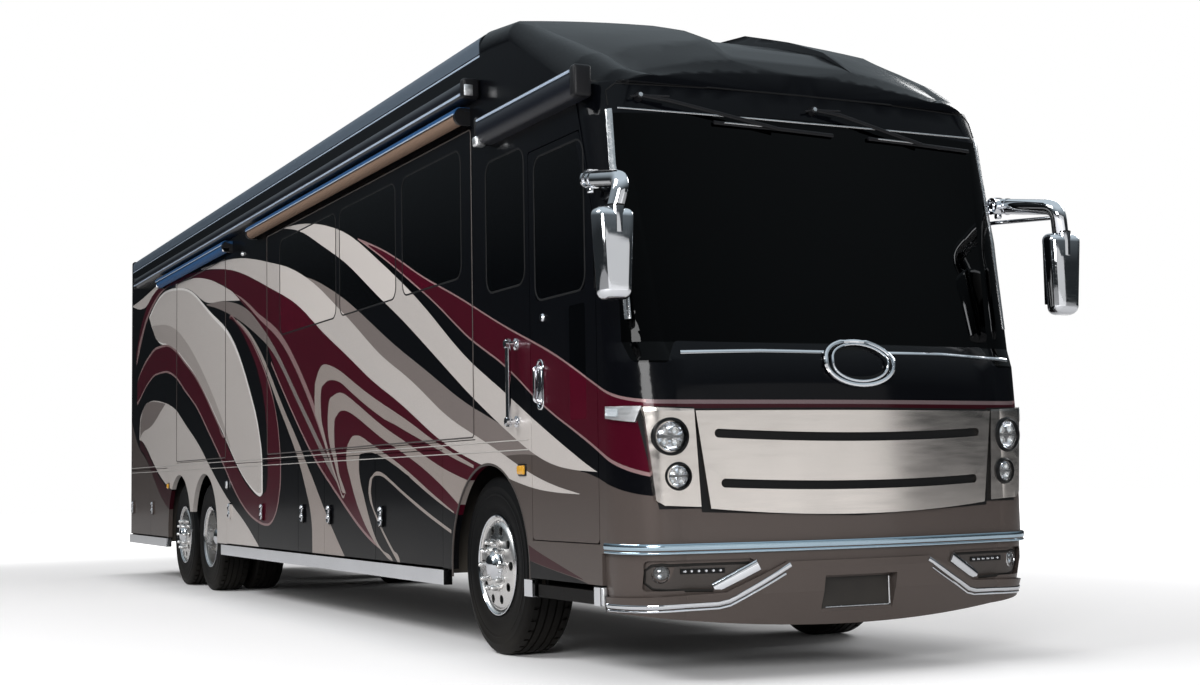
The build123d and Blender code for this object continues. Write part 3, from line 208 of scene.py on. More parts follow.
# %% Road film group
film, ends_in, ends_out = start_group(
    "Road film",
    [
        ("Colour", "Color", (0, 0, 0, 1)), ("Roughness", "Float", 0.3), ("Amount", "Float", 0.3),
        ("Top", "Float", 0.8),
    ],
    [("Colour", "Color", None), ("Roughness", "Float", None)],
)
place = put(film, "TexCoord")
axes = put(film, "SeparateXYZ", {0: place.outputs["Object"]})
patches = put(film, "TexNoise", {"Vector": place.outputs["Object"], "Scale": 2.3, "Detail": 5.0})
fade = put(
    film,
    "MapRange",
    {
        "Value": axes.outputs[2], "From Min": ends_in.outputs["Top"], "From Max": 0.1, "To Min": 0.0,
        "To Max": 1.0,
    },
)
share = put(film, "Math", {0: fade.outputs[0], 1: patches.outputs[0]}, operation="MULTIPLY")
share = put(film, "Math", {0: share.outputs[0], 1: ends_in.outputs["Amount"]}, operation="MULTIPLY")
dusty = blend_colour(film, share.outputs[0], ends_in.outputs["Colour"], chart(150, 140, 126))
duller = put(
    film,
    "MapRange",
    {"Value": share.outputs[0], "To Min": ends_in.outputs["Roughness"], "To Max": 0.85},
)
film.links.new(dusty, ends_out.inputs["Colour"])
film.links.new(duller.outputs[0], ends_out.inputs["Roughness"])
print("shared groups:", [group.name for group in bpy.data.node_groups])
# %% [markdown]
# ## The sweeping stripes
# A painter masks such a coach by hand: long fine-line tape is pulled along each sweep, and the
# colours go on one over the other. The material does the same. Each sweep is a table of places
# ahead of the front axle with the height of its upper and lower edge there, and a pair of curve
# nodes draws the two edges through them. What lies between them takes the sweep's colour, and
# later sweeps cover earlier ones. Cut-out meshes could do it too, but they would flicker on the
# wall and stop at every door gap.

# %% Sweep tables
PAINTS = {
    "black": chart(13, 14, 17),
    "pewter": chart(80, 73, 70),
    "smoke": chart(118, 110, 107),
    "shade": chart(160, 153, 149),
    "silver": chart(186, 180, 176),
    "white": chart(222, 219, 216),
    "rose": chart(132, 108, 108),
    # A darker rose, used only on the nose's front face as painted shade.
    "dusk": chart(104, 90, 92),
    "wine": chart(66, 16, 30),
    "plum": chart(52, 22, 28),
    "stone": chart(146, 137, 132),
}
SWEEPS = [
    ("pewter", [
        (-11.8, 2, 0.2), (-11.65, 1.921, 0.2), (-11.4, 1.735, 0.2), (-11.2, 1.584, 0.2), (-11, 1.482, 0.2),
        (-10.75, 1.403, 0.2), (-10.5, 1.307, 0.2), (-10.25, 1.18, 0.2), (-10, 1.053, 0.2),
        (-9.75, 0.943, 0.2), (-9.5, 0.853, 0.2), (-9.25, 0.786, 0.2), (-8.9, 0.72, 0.2),
    ]),
    ("plum", [
        (-11.02, 1.62, 1.5), (-10.75, 1.534, 1.427), (-10.5, 1.432, 1.318), (-10.25, 1.316, 1.179),
        (-10, 1.208, 1.045), (-9.75, 1.119, 0.931), (-9.5, 1.05, 0.842), (-9.25, 1.006, 0.781),
        (-8.9, 0.97, 0.72),
    ]),
    ("silver", [
        (-11.05, 1.62, 1.6), (-11, 1.85, 1.598), (-10.9, 1.918, 1.586), (-10.75, 1.98, 1.547),
        (-10.5, 2.022, 1.449), (-10.25, 2.03, 1.337), (-10, 2.017, 1.232), (-9.75, 1.994, 1.145),
        (-9.5, 1.965, 1.074), (-9.25, 1.926, 1.021), (-9, 1.875, 0.98), (-8.9, 1.846, 0.2),
        (-8.75, 1.791, 0.2), (-8.5, 1.697, 0.2), (-8.25, 1.608, 0.2), (-8, 1.519, 0.2), (-7.75, 1.417, 0.2),
        (-7.5, 1.303, 0.2), (-7.25, 1.187, 0.2), (-7, 1.076, 0.2), (-6.75, 0.973, 0.2), (-6.5, 0.882, 0.2),
        (-6.25, 0.803, 0.2), (-6, 0.723, 0.2), (-5.75, 0.631, 0.2), (-5.5, 0.528, 0.2), (-5.2, 0.4, 0.2),
    ]),
    ("smoke", [
        (-11, 1.8, 1.62), (-10.9, 1.902, 1.665), (-10.75, 1.985, 1.698), (-10.5, 2.023, 1.719),
        (-10.25, 2.021, 1.756), (-10, 2.005, 1.822), (-9.75, 1.983, 1.899), (-9.55, 1.965, 1.955),
    ]),
    ("silver", [
        (-11.5, 3.25, 3.235), (-11, 3.271, 3.159), (-10.75, 3.286, 3.154), (-10.5, 3.304, 3.194),
        (-10.25, 3.323, 3.25), (-10, 3.338, 3.289), (-9.75, 3.341, 3.308), (-9.45, 3.33, 3.32),
    ]),
    ("rose", [
        (-11.25, 2.55, 2.5), (-11.15, 2.695, 2.581), (-11, 2.873, 2.712), (-10.75, 3.074, 2.902),
        (-10.5, 3.19, 3.033), (-10.25, 3.254, 3.119), (-10, 3.292, 3.185), (-9.75, 3.31, 3.23),
        (-9.5, 3.308, 3.251), (-9.2, 3.29, 3.26),
    ]),
    ("wine", [
        (-11.3, 2.6, 2.58), (-11.15, 2.78, 2.706), (-11, 2.926, 2.82), (-10.75, 3.092, 2.972),
        (-10.5, 3.195, 3.08), (-10.25, 3.255, 3.157), (-10, 3.292, 3.215), (-9.75, 3.309, 3.251),
        (-9.5, 3.307, 3.26), (-9, 3.287, 3.242), (-8.5, 3.27, 3.215),
    ]),
    ("silver", [
        (-9, 3.24, 3.2), (-8.5, 3.22, 3.141), (-8.25, 3.21, 3.094), (-8, 3.195, 3.024),
        (-7.75, 3.167, 2.947), (-7.5, 3.128, 2.888), (-7.25, 3.08, 2.859), (-7, 3.025, 2.845),
        (-6.75, 2.966, 2.826), (-6.5, 2.903, 2.801), (-6.25, 2.84, 2.778), (-5.9, 2.755, 2.75),
    ]),
    ("wine", [
        (-9, 3.28, 3.25), (-8.5, 3.277, 3.232), (-8, 3.254, 3.194), (-7.5, 3.214, 3.125),
        (-7, 3.165, 3.028), (-6.5, 3.109, 2.905), (-6.25, 3.071, 2.82), (-6, 3.017, 2.72),
        (-5.75, 2.953, 2.629), (-5.5, 2.885, 2.53), (-5.25, 2.822, 2.373), (-5, 2.763, 2.157),
        (-4.75, 2.702, 1.94), (-4.5, 2.636, 1.758), (-4.25, 2.563, 1.599), (-4, 2.479, 1.445),
        (-3.75, 2.379, 1.3), (-3.5, 2.275, 1.171), (-3.25, 2.179, 1.056), (-3, 2.09, 0.945),
        (-2.75, 1.999, 0.834), (-2.5, 1.901, 0.733), (-2.25, 1.806, 0.649), (-2, 1.732, 0.583),
        (-1.6, 1.642, 0.49), (-1.5, 1.609, 1.3), (-1.25, 1.497, 1.2), (-1, 1.393, 1.105),
        (-0.75, 1.308, 1.011), (-0.5, 1.236, 0.919), (-0.3, 1.186, 0.861), (0, 1.12, 0.8),
    ]),
    ("rose", [
        (-6.3, 2.85, 2.845), (-6, 2.771, 2.748), (-5.75, 2.691, 2.657), (-5.5, 2.602, 2.559),
        (-5.25, 2.523, 2.47), (-5, 2.449, 2.386), (-4.75, 2.36, 2.29), (-4.5, 2.241, 2.166),
        (-4.25, 2.094, 2.015), (-4, 1.926, 1.844), (-3.75, 1.74, 1.657), (-3.61, 1.623, 1.541),
        (-3.4, 1.44, 1.364), (-3.25, 1.321, 1.265), (-3.1, 1.22, 1.2),
    ]),
    ("smoke", [
        (-7.5, 2.868, 2.86), (-7, 2.843, 2.775), (-6.5, 2.79, 2.67), (-6, 2.696, 2.544),
        (-5.75, 2.624, 2.472), (-5.5, 2.527, 2.394), (-5.25, 2.416, 2.312), (-5, 2.294, 2.214),
        (-4.75, 2.156, 2.087), (-4.5, 2.001, 1.934), (-4.25, 1.839, 1.771), (-4, 1.68, 1.612),
        (-3.75, 1.523, 1.454), (-3.5, 1.366, 1.296), (-3.25, 1.213, 1.146), (-3, 1.072, 1.023),
        (-2.8, 0.97, 0.95),
    ]),
    ("rose", [
        (-5, 2.12, 2.095), (-4.75, 1.945, 1.92), (-4.5, 1.775, 1.75), (-4.25, 1.611, 1.586),
        (-4, 1.453, 1.428), (-3.75, 1.306, 1.281), (-3.5, 1.176, 1.151), (-3.25, 1.061, 1.036),
        (-3, 0.95, 0.925), (-2.75, 0.839, 0.814), (-2.5, 0.736, 0.712), (-2.25, 0.65, 0.628),
        (-2, 0.585, 0.567), (-1.55, 0.49, 0.48),
    ]),
    ("stone", [
        (-6.25, 2.6, 2.58), (-5.9, 2.489, 2.457), (-5.75, 2.431, 2.394), (-5.5, 2.309, 2.258),
        (-5.25, 2.161, 2.093), (-5, 1.986, 1.903), (-4.75, 1.801, 1.712), (-4.5, 1.626, 1.528),
        (-4.25, 1.462, 1.336), (-4.1, 1.359, 1.202), (-4, 1.286, 1.095), (-3.9, 1.212, 0.973),
        (-3.8, 1.14, 0.84), (-3.74, 1.099, 0.66), (-3.73, 1.091, 0.2), (-3.5, 0.917, 0.2),
        (-3.36, 0.815, 0.2), (-3.1, 0.638, 0.2), (-2.8, 0.45, 0.2),
    ]),
    ("stone", [
        (-3.66, 1.72, 1.68), (-3.65, 1.83, 1.6), (-3.6, 1.889, 1.558), (-3.5, 1.959, 1.465),
        (-3.4, 1.979, 1.364), (-3.25, 1.963, 1.216), (-3, 1.909, 0.999), (-2.9, 1.881, 0.93),
        (-2.75, 1.834, 1.3), (-2.5, 1.756, 1.41), (-2.25, 1.682, 1.482), (-2, 1.613, 1.494),
        (-1.75, 1.548, 1.456), (-1.5, 1.482, 1.4), (-1.25, 1.411, 1.344), (-1, 1.338, 1.287),
        (-0.6, 1.233, 1.2), (-0.2, 1.14, 1.12),
    ]),
    ("wine", [
        (-3.49, 1.72, 1.7), (-3.47, 1.79, 1.55), (-3.4, 1.822, 1.447), (-3.25, 1.845, 1.267),
        (-3, 1.82, 1.028), (-2.9, 1.794, 0.95), (-2.75, 1.743, 1.2), (-2.5, 1.661, 1.309),
        (-2.25, 1.584, 1.383), (-2, 1.513, 1.396), (-1.75, 1.446, 1.359), (-1.5, 1.383, 1.304),
        (-1.25, 1.322, 1.251), (-1, 1.268, 1.196), (-0.6, 1.193, 1.101), (-0.2, 1.12, 1),
    ]),
    ("stone", [
        (-3.3, 1.55, 1.5), (-3.285, 1.62, 1.42), (-3.25, 1.69, 1.35), (-3.15, 1.719, 1.23),
        (-3, 1.735, 1.051), (-2.9, 1.726, 0.97), (-2.8, 1.703, 0.972), (-2.5, 1.613, 1.126),
        (-2.25, 1.534, 1.209), (-2, 1.457, 1.218), (-1.75, 1.389, 1.195), (-1.5, 1.326, 1.155),
        (-1.25, 1.259, 1.089), (-1, 1.192, 1), (-0.75, 1.131, 0.915), (-0.5, 1.081, 0.853),
        (-0.2, 1.03, 0.8),
    ]),
    ("wine", [
        (-3.13, 1.45, 1.4), (-3.12, 1.52, 1.34), (-3.05, 1.566, 1.22), (-3, 1.586, 1.12),
        (-2.9, 1.594, 1.027), (-2.75, 1.576, 0.9), (-2.5, 1.513, 0.75), (-2.25, 1.438, 0.741),
        (-2, 1.365, 0.882), (-1.75, 1.3, 1.045), (-1.5, 1.237, 1.103), (-1.25, 1.171, 1.059),
        (-1, 1.096, 0.98), (-0.75, 1.01, 0.9), (-0.6, 0.952, 0.85), (-0.4, 0.87, 0.78),
    ]),
    ("stone", [
        (-2.82, 1.25, 1.22), (-2.8, 1.31, 1.17), (-2.75, 1.351, 1.105), (-2.62, 1.395, 0.951),
        (-2.5, 1.391, 0.837), (-2.25, 1.333, 0.669), (-2, 1.271, 0.562), (-1.75, 1.208, 0.5),
        (-1.5, 1.139, 1.1), (-1.25, 1.063, 1.026), (-1, 0.983, 0.954), (-0.75, 0.908, 0.884),
        (-0.55, 0.85, 0.83),
    ]),
    ("black", [
        (-2.51, 1.2, 1.14), (-2.49, 1.25, 1.08), (-2.4, 1.26, 0.951), (-2.25, 1.262, 0.764),
        (-2.12, 1.25, 0.643), (-2, 1.23, 0.578), (-1.75, 1.175, 0.5), (-1.5, 1.109, 0.2),
        (-1.25, 1.033, 0.2), (-1, 0.958, 0.2), (-0.75, 0.89, 0.2), (-0.5, 0.83, 0.2),
    ]),
    ("stone", [
        (-2.285, 1, 0.97), (-2.26, 1.06, 0.92), (-2.2, 1.093, 0.863), (-2.09, 1.123, 0.771),
        (-2, 1.117, 0.707), (-1.75, 1.05, 0.553), (-1.6, 1.003, 0.469), (-1.5, 0.973, 0.419),
        (-1.25, 0.902, 0.3), (-1, 0.834, 0.2), (-0.75, 0.771, 0.2), (-0.6, 0.735, 0.2),
    ]),
    ("black", [
        (-2.23, 1, 0.97), (-2.2, 1.07, 0.9), (-2.09, 1.094, 0.802), (-2, 1.091, 0.735),
        (-1.75, 1.028, 0.581), (-1.6, 0.981, 0.5), (-1.5, 0.951, 0.2), (-1.25, 0.879, 0.2),
        (-1, 0.811, 0.2), (-0.75, 0.749, 0.2), (-0.5, 0.69, 0.2),
    ]),
    ("rose", [
        (-11.2, 2.3, 2.02), (-11, 2.404, 2.084), (-10.75, 2.499, 2.174), (-10.5, 2.563, 2.245),
        (-10, 2.634, 2.314), (-9.5, 2.628, 2.306), (-9, 2.531, 2.216), (-8.75, 2.448, 2.133),
        (-8.5, 2.355, 2.037), (-8.25, 2.268, 1.952), (-8, 2.174, 1.859), (-7.75, 2.061, 1.743),
        (-7.5, 1.933, 1.613), (-7.25, 1.797, 1.485), (-7, 1.66, 1.357), (-6.75, 1.53, 1.218),
        (-6.5, 2.665, 1.077), (-6.25, 2.587, 0.949), (-6, 2.5, 0.845), (-5.75, 2.39, 0.767),
        (-5.5, 2.249, 0.716), (-5.25, 2.081, 0.687), (-5.15, 2.005, 0.686), (-5, 1.871, 0.711),
        (-4.9, 1.751, 0.76), (-4.8, 1.6, 0.84), (-4.74, 1.46, 0.94), (-4.7, 1.33, 1.02),
        (-4.68, 1.22, 1.12),
    ]),
    ("wine", [
        (-11.2, 2.3, 2.06), (-11, 2.384, 2.111), (-10.75, 2.47, 2.195), (-10.5, 2.533, 2.265),
        (-10, 2.606, 2.334), (-9.5, 2.599, 2.327), (-9, 2.501, 2.24), (-8.75, 2.419, 2.157),
        (-8.5, 2.328, 2.059), (-8.25, 2.244, 1.973), (-8, 2.149, 1.882), (-7.75, 2.035, 1.768),
        (-7.5, 1.905, 1.64), (-7.25, 1.767, 1.513), (-7, 1.63, 1.383), (-6.75, 1.5, 1.244),
        (-6.5, 2.65, 1.1), (-6.25, 2.57, 0.97), (-6, 2.481, 0.865), (-5.75, 2.37, 0.787),
        (-5.5, 2.227, 0.736), (-5.25, 2.056, 0.707), (-5.15, 1.977, 0.706), (-5, 1.84, 0.731),
        (-4.9, 1.735, 0.781), (-4.82, 1.6, 0.85), (-4.76, 1.46, 0.95), (-4.725, 1.33, 1.03),
        (-4.705, 1.22, 1.14),
    ]),
    ("black", [
        (-6.75, 2.66, 1.5), (-6.5, 2.63, 1.357), (-6.25, 2.557, 1.219), (-6, 2.434, 1.1),
        (-5.75, 2.28, 1.008), (-5.5, 2.097, 0.946), (-5.4, 1.995, 0.941), (-5.25, 1.8, 0.969),
        (-5.17, 1.6, 1), (-5.13, 1.4, 1.08), (-5.12, 1.2, 1.15),
    ]),
    ("white", [
        (-10.47, 3.02, 3), (-10.25, 3.098, 2.842), (-10, 3.166, 2.708), (-9.75, 3.207, 2.642),
        (-9.5, 3.222, 2.62), (-9.25, 3.216, 2.592), (-9, 3.197, 2.53), (-8.75, 3.172, 2.442),
        (-8.5, 3.138, 2.353), (-8.25, 3.088, 2.269), (-8, 3.016, 2.174), (-7.75, 2.928, 2.061),
        (-7.5, 2.835, 1.934), (-7.25, 2.747, 1.798), (-7, 2.667, 1.66), (-6.75, 2.583, 1.521),
        (-6.5, 2.475, 1.379), (-6.25, 2.329, 1.24), (-6, 2.138, 1.121), (-5.75, 1.907, 1.029),
        (-5.5, 1.645, 0.957), (-5.4, 1.485, 0.942), (-5.32, 1.325, 0.958), (-5.295, 1.15, 0.98),
    ]),
    ("silver", [
        (-10.45, 3, 2.98), (-10.25, 3.076, 2.855), (-10, 3.145, 2.728), (-9.75, 3.184, 2.657),
        (-9.5, 3.197, 2.63), (-9.25, 3.19, 2.601), (-9, 3.172, 2.54), (-8.75, 3.147, 2.453),
        (-8.5, 3.113, 2.363), (-8.25, 3.062, 2.279), (-8, 2.988, 2.184), (-7.75, 2.898, 2.071),
        (-7.5, 2.803, 1.944), (-7.25, 2.712, 1.808), (-7, 2.628, 1.67), (-6.75, 2.541, 1.531),
        (-6.5, 2.432, 1.389), (-6.25, 2.284, 1.252), (-6, 2.092, 1.133), (-5.75, 1.857, 1.042),
        (-5.5, 1.59, 0.979), (-5.4, 1.42, 0.971), (-5.34, 1.25, 0.98),
    ]),
    ("smoke", [
        (-3.95, 2.74, 2.735), (-3.75, 2.699, 2.675), (-3.5, 2.638, 2.587), (-3.25, 2.567, 2.484),
        (-3, 2.491, 2.379), (-2.75, 2.407, 2.276), (-2.5, 2.315, 2.169), (-2.25, 2.218, 2.057),
        (-2, 2.12, 1.952), (-1.75, 2.025, 1.863), (-1.5, 1.935, 1.78), (-1.25, 1.849, 1.69),
        (-1, 1.763, 1.589), (-0.75, 1.674, 1.49), (-0.5, 1.586, 1.407), (-0.25, 1.508, 1.338),
        (0, 1.44, 1.27), (0.25, 1.371, 1.199), (0.5, 1.292, 1.128), (0.75, 1.211, 1.061), (1, 1.141, 1.001),
        (1.1, 1.12, 0.98),
    ]),
    ("pewter", [
        (0.3, 1.185, 1.18), (0.5, 1.19, 1.127), (0.75, 1.18, 1.063), (1, 1.149, 1.009),
        (1.25, 1.106, 0.972), (1.36, 1.085, 0.962),
    ]),
    ("shade", [
        (-10.3, 2.9, 2.88), (-10.1, 2.886, 2.745), (-10, 2.88, 2.706), (-9.5, 2.839, 2.628),
        (-9, 2.745, 2.526), (-8.5, 2.581, 2.374), (-8, 2.363, 2.178), (-7.5, 2.1, 1.942),
        (-7, 1.797, 1.674), (-6.75, 1.62, 1.533), (-6.5, 1.42, 1.39),
    ]),
    ("silver", [
        (-7.75, 3.26, 3.25), (-7.5, 3.25, 3.223), (-7, 3.23, 3.168), (-6.5, 3.2, 3.1), (-6, 3.149, 3.004),
        (-5.5, 3.073, 2.885), (-5, 2.984, 2.757), (-4.75, 2.938, 2.694), (-4.5, 2.889, 2.629),
        (-4.25, 2.829, 2.557), (-4, 2.759, 2.471), (-3.75, 2.68, 2.371), (-3.5, 2.591, 2.268),
        (-3.25, 2.49, 2.172), (-3, 2.386, 2.082), (-2.75, 2.283, 1.99), (-2.5, 2.174, 1.896),
        (-2.25, 2.062, 1.803), (-2, 1.957, 1.72), (-1.75, 1.868, 1.643), (-1.5, 1.785, 1.561),
        (-1.25, 1.694, 1.472), (-1, 1.594, 1.382), (-0.75, 1.495, 1.301), (-0.5, 1.412, 1.234),
        (-0.25, 1.343, 1.177), (0, 1.275, 1.125), (0.25, 1.204, 1.074), (0.5, 1.13, 1.028),
        (0.75, 1.063, 0.993), (1, 1.012, 0.973), (1.34, 0.963, 0.96),
    ]),
    ("silver", [
        (-4.6, 3.235, 3.23), (-4.25, 3.208, 3.171), (-4, 3.183, 3.113), (-3.75, 3.149, 3.036),
        (-3.5, 3.107, 2.951), (-3.25, 3.056, 2.867), (-3, 2.996, 2.782), (-2.75, 2.923, 2.689),
        (-2.5, 2.834, 2.583), (-2.25, 2.732, 2.472), (-2, 2.626, 2.363), (-1.75, 2.52, 2.259),
        (-1.5, 2.41, 2.152), (-1.25, 2.294, 2.039), (-1, 2.17, 1.923), (-0.75, 2.038, 1.807),
        (-0.5, 1.907, 1.69), (-0.25, 1.788, 1.577), (0, 1.684, 1.47), (0.25, 1.585, 1.368),
        (0.5, 1.482, 1.27), (0.75, 1.379, 1.185), (1, 1.28, 1.125), (1.25, 1.185, 1.094),
        (1.5, 1.096, 1.08), (1.56, 1.078, 1.077),
    ]),
    ("rose", [
        (-2.5, 2.86, 2.85), (-2.25, 2.793, 2.758), (-2, 2.724, 2.665), (-1.75, 2.647, 2.569),
        (-1.5, 2.561, 2.468), (-1.25, 2.47, 2.366), (-1, 2.385, 2.263), (-0.75, 2.307, 2.153),
        (-0.5, 2.23, 2.035), (-0.25, 2.148, 1.923), (0, 2.063, 1.829), (0.25, 1.98, 1.738),
        (0.5, 1.902, 1.628), (0.75, 1.827, 1.507), (1, 1.749, 1.4), (1.25, 1.659, 1.308),
        (1.5, 1.562, 1.213), (1.7, 1.489, 1.129), (1.85, 1.448, 1.068), (1.95, 1.436, 1.029),
        (2.1, 1.433, 0.97),
    ]),
    ("wine", [
        (-2.25, 2.78, 2.77), (-2, 2.712, 2.677), (-1.75, 2.635, 2.581), (-1.5, 2.548, 2.481),
        (-1.25, 2.458, 2.379), (-1, 2.373, 2.276), (-0.75, 2.295, 2.166), (-0.5, 2.218, 2.048),
        (-0.25, 2.136, 1.936), (0, 2.052, 1.842), (0.25, 1.969, 1.751), (0.5, 1.89, 1.641),
        (0.75, 1.815, 1.52), (1, 1.736, 1.412), (1.25, 1.647, 1.321), (1.5, 1.55, 1.228),
        (1.7, 1.475, 1.147), (1.85, 1.432, 1.088), (1.95, 1.418, 1.049), (2.1, 1.415, 0.99),
    ]),
    # On the nose's front face these plum rows cover the top of the wine band with a darker wine: painted
    # shade.
    ("plum", [
        (1.9, 1.416, 1.3), (2, 1.416, 1.3), (2.1, 1.414, 1.3),
    ]),
    # The rose line on the nose's front face is darker than on the sides: painted shade.
    ("dusk", [
        (1.89, 1.44, 1.42), (1.95, 1.437, 1.416), (2.1, 1.434, 1.413),
    ]),
    ("pewter", [
        (0, 1.13, 0.2), (0.25, 1.075, 0.2), (0.5, 1.027, 0.2), (0.75, 0.993, 0.2), (1, 0.973, 0.2),
        (1.34, 0.96, 0.2), (1.35, 1.08, 0.2), (1.55, 1.049, 0.2), (1.7, 1.007, 0.2), (1.9, 0.951, 0.2),
        (2.2, 0.9, 0.2),
    ]),
    ("plum", [
        (0.55, 0.7, 0.6), (0.75, 0.645, 0.575), (1, 0.59, 0.545), (1.36, 0.513, 0.51),
    ]),
    ("black", [
        (0.5, 0.61, 0.2), (0.75, 0.573, 0.2), (1, 0.543, 0.2), (1.35, 0.503, 0.2), (1.5, 0.475, 0.2),
        (1.62, 0.44, 0.2),
    ]),
]
print("sweeps:", len(SWEEPS))
# %% [markdown]
# ## From tables to paint
# A curve node works between 0 and 1, so the distance along a sweep is stretched to that range and
# heights are given as a share of a four metre wall. A point of the wall is inside a sweep when it
# is under the upper curve and over the lower one, and between the sweep's two ends.

# %% Stripe group
WALL_SCALE = 4.0


def edge_curve(tree, share, rows, column):
    """The height of one edge of a sweep, as a share of the wall scale."""
    curve = put(tree, "FloatCurve", {"Value": share})
    points = curve.mapping.curves[0].points
    first, last = rows[0][0], rows[-1][0]
    places = [((row[0] - first) / (last - first), row[column] / WALL_SCALE) for row in rows]
    points[0].location, points[1].location = places[0], places[-1]
    for place in places[1:-1]:
        points.new(*place)
    for point in points:
        point.handle_type = "AUTO_CLAMPED"
    curve.mapping.update()
    return curve.outputs[0]


stripes, ends_in, ends_out = start_group(
    "Sweeping stripes", [("Ground", "Color", (0, 0, 0, 1))], [
        ("Colour", "Color", None), ("Mask", "Float", None),
    ]
)
place = put(stripes, "TexCoord")
axes = put(stripes, "SeparateXYZ", {0: place.outputs["Object"]})
ahead = put(stripes, "Math", {0: axes.outputs[0], 1: AXLE_X}, operation="SUBTRACT").outputs[0]
height = put(stripes, "Math", {0: axes.outputs[2], 1: WALL_SCALE}, operation="DIVIDE").outputs[0]
colour, covered = ends_in.outputs["Ground"], None
for paint, rows in SWEEPS:
    share = put(
        stripes, "MapRange", {"Value": ahead, "From Min": rows[0][0], "From Max": rows[-1][0]}
    ).outputs[0]
    upper, lower = (edge_curve(stripes, share, rows, column) for column in (1, 2))
    under = put(stripes, "Math", {0: upper, 1: height}, operation="GREATER_THAN").outputs[0]
    over = put(stripes, "Math", {0: height, 1: lower}, operation="GREATER_THAN").outputs[0]
    inside = put(stripes, "Math", {0: share, 1: 0.5, 2: 0.4995}, operation="COMPARE").outputs[0]
    both = put(stripes, "Math", {0: under, 1: over}, operation="MULTIPLY").outputs[0]
    mask = put(stripes, "Math", {0: both, 1: inside}, operation="MULTIPLY").outputs[0]
    colour = blend_colour(stripes, mask, colour, PAINTS[paint])
    bright = 0.0 if paint == "black" else 1.0
    covered = put(stripes, "Mix", {0: mask, 2: covered if covered else 0.0, 3: bright}).outputs[0]
stripes.links.new(colour, ends_out.inputs["Colour"])
stripes.links.new(covered, ends_out.inputs["Mask"])
print("stripe nodes:", len(stripes.nodes))

# %% [markdown]
# ## Coach paint
# Full-body paint is a base coat under a thick clear coat. The silvers and the pewter hold metal
# flakes, which catch the light as tiny sparks, and the black holds almost none. So the flakes
# follow the stripe mask, and one clear coat lies over everything.

# %% Coach paint


def coach_paint(name, ground, metal=0.25):
    """Base coat with the stripes, metal flakes in the bright colours, and a clear coat."""
    made, tree, shader = start_material(
        name, (20, 20, 22), 0.38, Coat_Weight=0.24, Coat_Roughness=0.1, Specular_IOR_Level=0.02
    )
    sweeps = use_group(tree, stripes, Ground=ground)
    place = put(tree, "TexCoord")
    flakes = put(tree, "TexNoise", {"Vector": place.outputs["Object"], "Scale": 900.0, "Detail": 1.0})
    sparks = put(
        tree, "MapRange", {
            "Value": flakes.outputs[0], "From Min": 0.35, "From Max": 0.75, "To Min": 0.86, "To Max": 1.18,
        }
    )
    flaked = put(
        tree, "VectorMath", {0: sweeps.outputs["Colour"], 1: sparks.outputs[0]}, operation="MULTIPLY"
    )
    dusty = use_group(tree, film, Colour=flaked.outputs[0], Roughness=0.33, Amount=0.04, Top=0.9)
    peel = use_group(tree, grain, Scale=26.0, Strength=0.05, Depth=0.004)
    metallic = put(tree, "Math", {0: sweeps.outputs["Mask"], 1: metal}, operation="MULTIPLY")
    feed(
        tree, shader, Base_Color=dusty.outputs["Colour"], Roughness=dusty.outputs["Roughness"],
        Metallic=metallic.outputs[0], Normal=peel.outputs["Normal"],
    )
    return made


body_paint = coach_paint("Coach paint", PAINTS["black"])
print("paint:", body_paint.name)
# %% [markdown]
# ## The other finishes
# Chrome, rubber, plastic, cloth and leather each get their own circuit. Bright metal shows faint
# polishing marks, so its gloss is stretched along one direction. Rubber and moulded plastic are
# told apart by the size of their grain and by how dust settles on them.

# %% Bright metals


def bright_metal(name, colour, low, high, stretch=(2.0, 14.0, 60.0), bump=0.02):
    """Metal whose gloss wanders between low and high along its polishing marks."""
    made, tree, shader = start_material(name, colour, low, Metallic=1.0)
    place = put(tree, "TexCoord")
    along = put(tree, "Mapping", {"Vector": place.outputs["Object"], "Scale": stretch})
    marks = put(tree, "TexNoise", {"Vector": along.outputs[0], "Scale": 1.0, "Detail": 4.0})
    gloss = put(
        tree, "MapRange",
        {"Value": marks.outputs[0], "From Min": 0.3, "From Max": 0.7, "To Min": low, "To Max": high},
    )
    clouds = put(tree, "TexNoise", {"Vector": place.outputs["Object"], "Scale": 1.7, "Detail": 3.0})
    tone = blend_colour(
        tree, clouds.outputs[0], chart(*colour), chart(*(value * 0.86 for value in colour))
    )
    dent = put(tree, "Bump", {"Height": marks.outputs[0], "Strength": bump, "Distance": 0.001})
    feed(tree, shader, Base_Color=tone, Roughness=gloss.outputs[0], Normal=dent.outputs[0])
    return made


chrome = bright_metal("Chrome", (226, 228, 232), 0.03, 0.09)
stainless = bright_metal("Brushed stainless", (205, 205, 206), 0.16, 0.3, (1.0, 60.0, 60.0), 0.08)
grille_metal = bright_metal("Satin bright panel", (226, 219, 213), 0.16, 0.24, (30.0, 2.0, 30.0), 0.012)
polished = bright_metal("Polished aluminium", (228, 226, 224), 0.2, 0.34, (8.0, 8.0, 8.0), 0.05)
# The bead's pale blue tint is a painted reflection of the sky on its bright metal.
bead_metal_painted_sky = bright_metal("Blued bright bead", (178, 200, 214), 0.12, 0.22)
satin_block = bright_metal("Satin end block", (236, 237, 238), 0.3, 0.45)
print("metals:", chrome.name, stainless.name, grille_metal.name, polished.name)

# %% Plastics and rubber


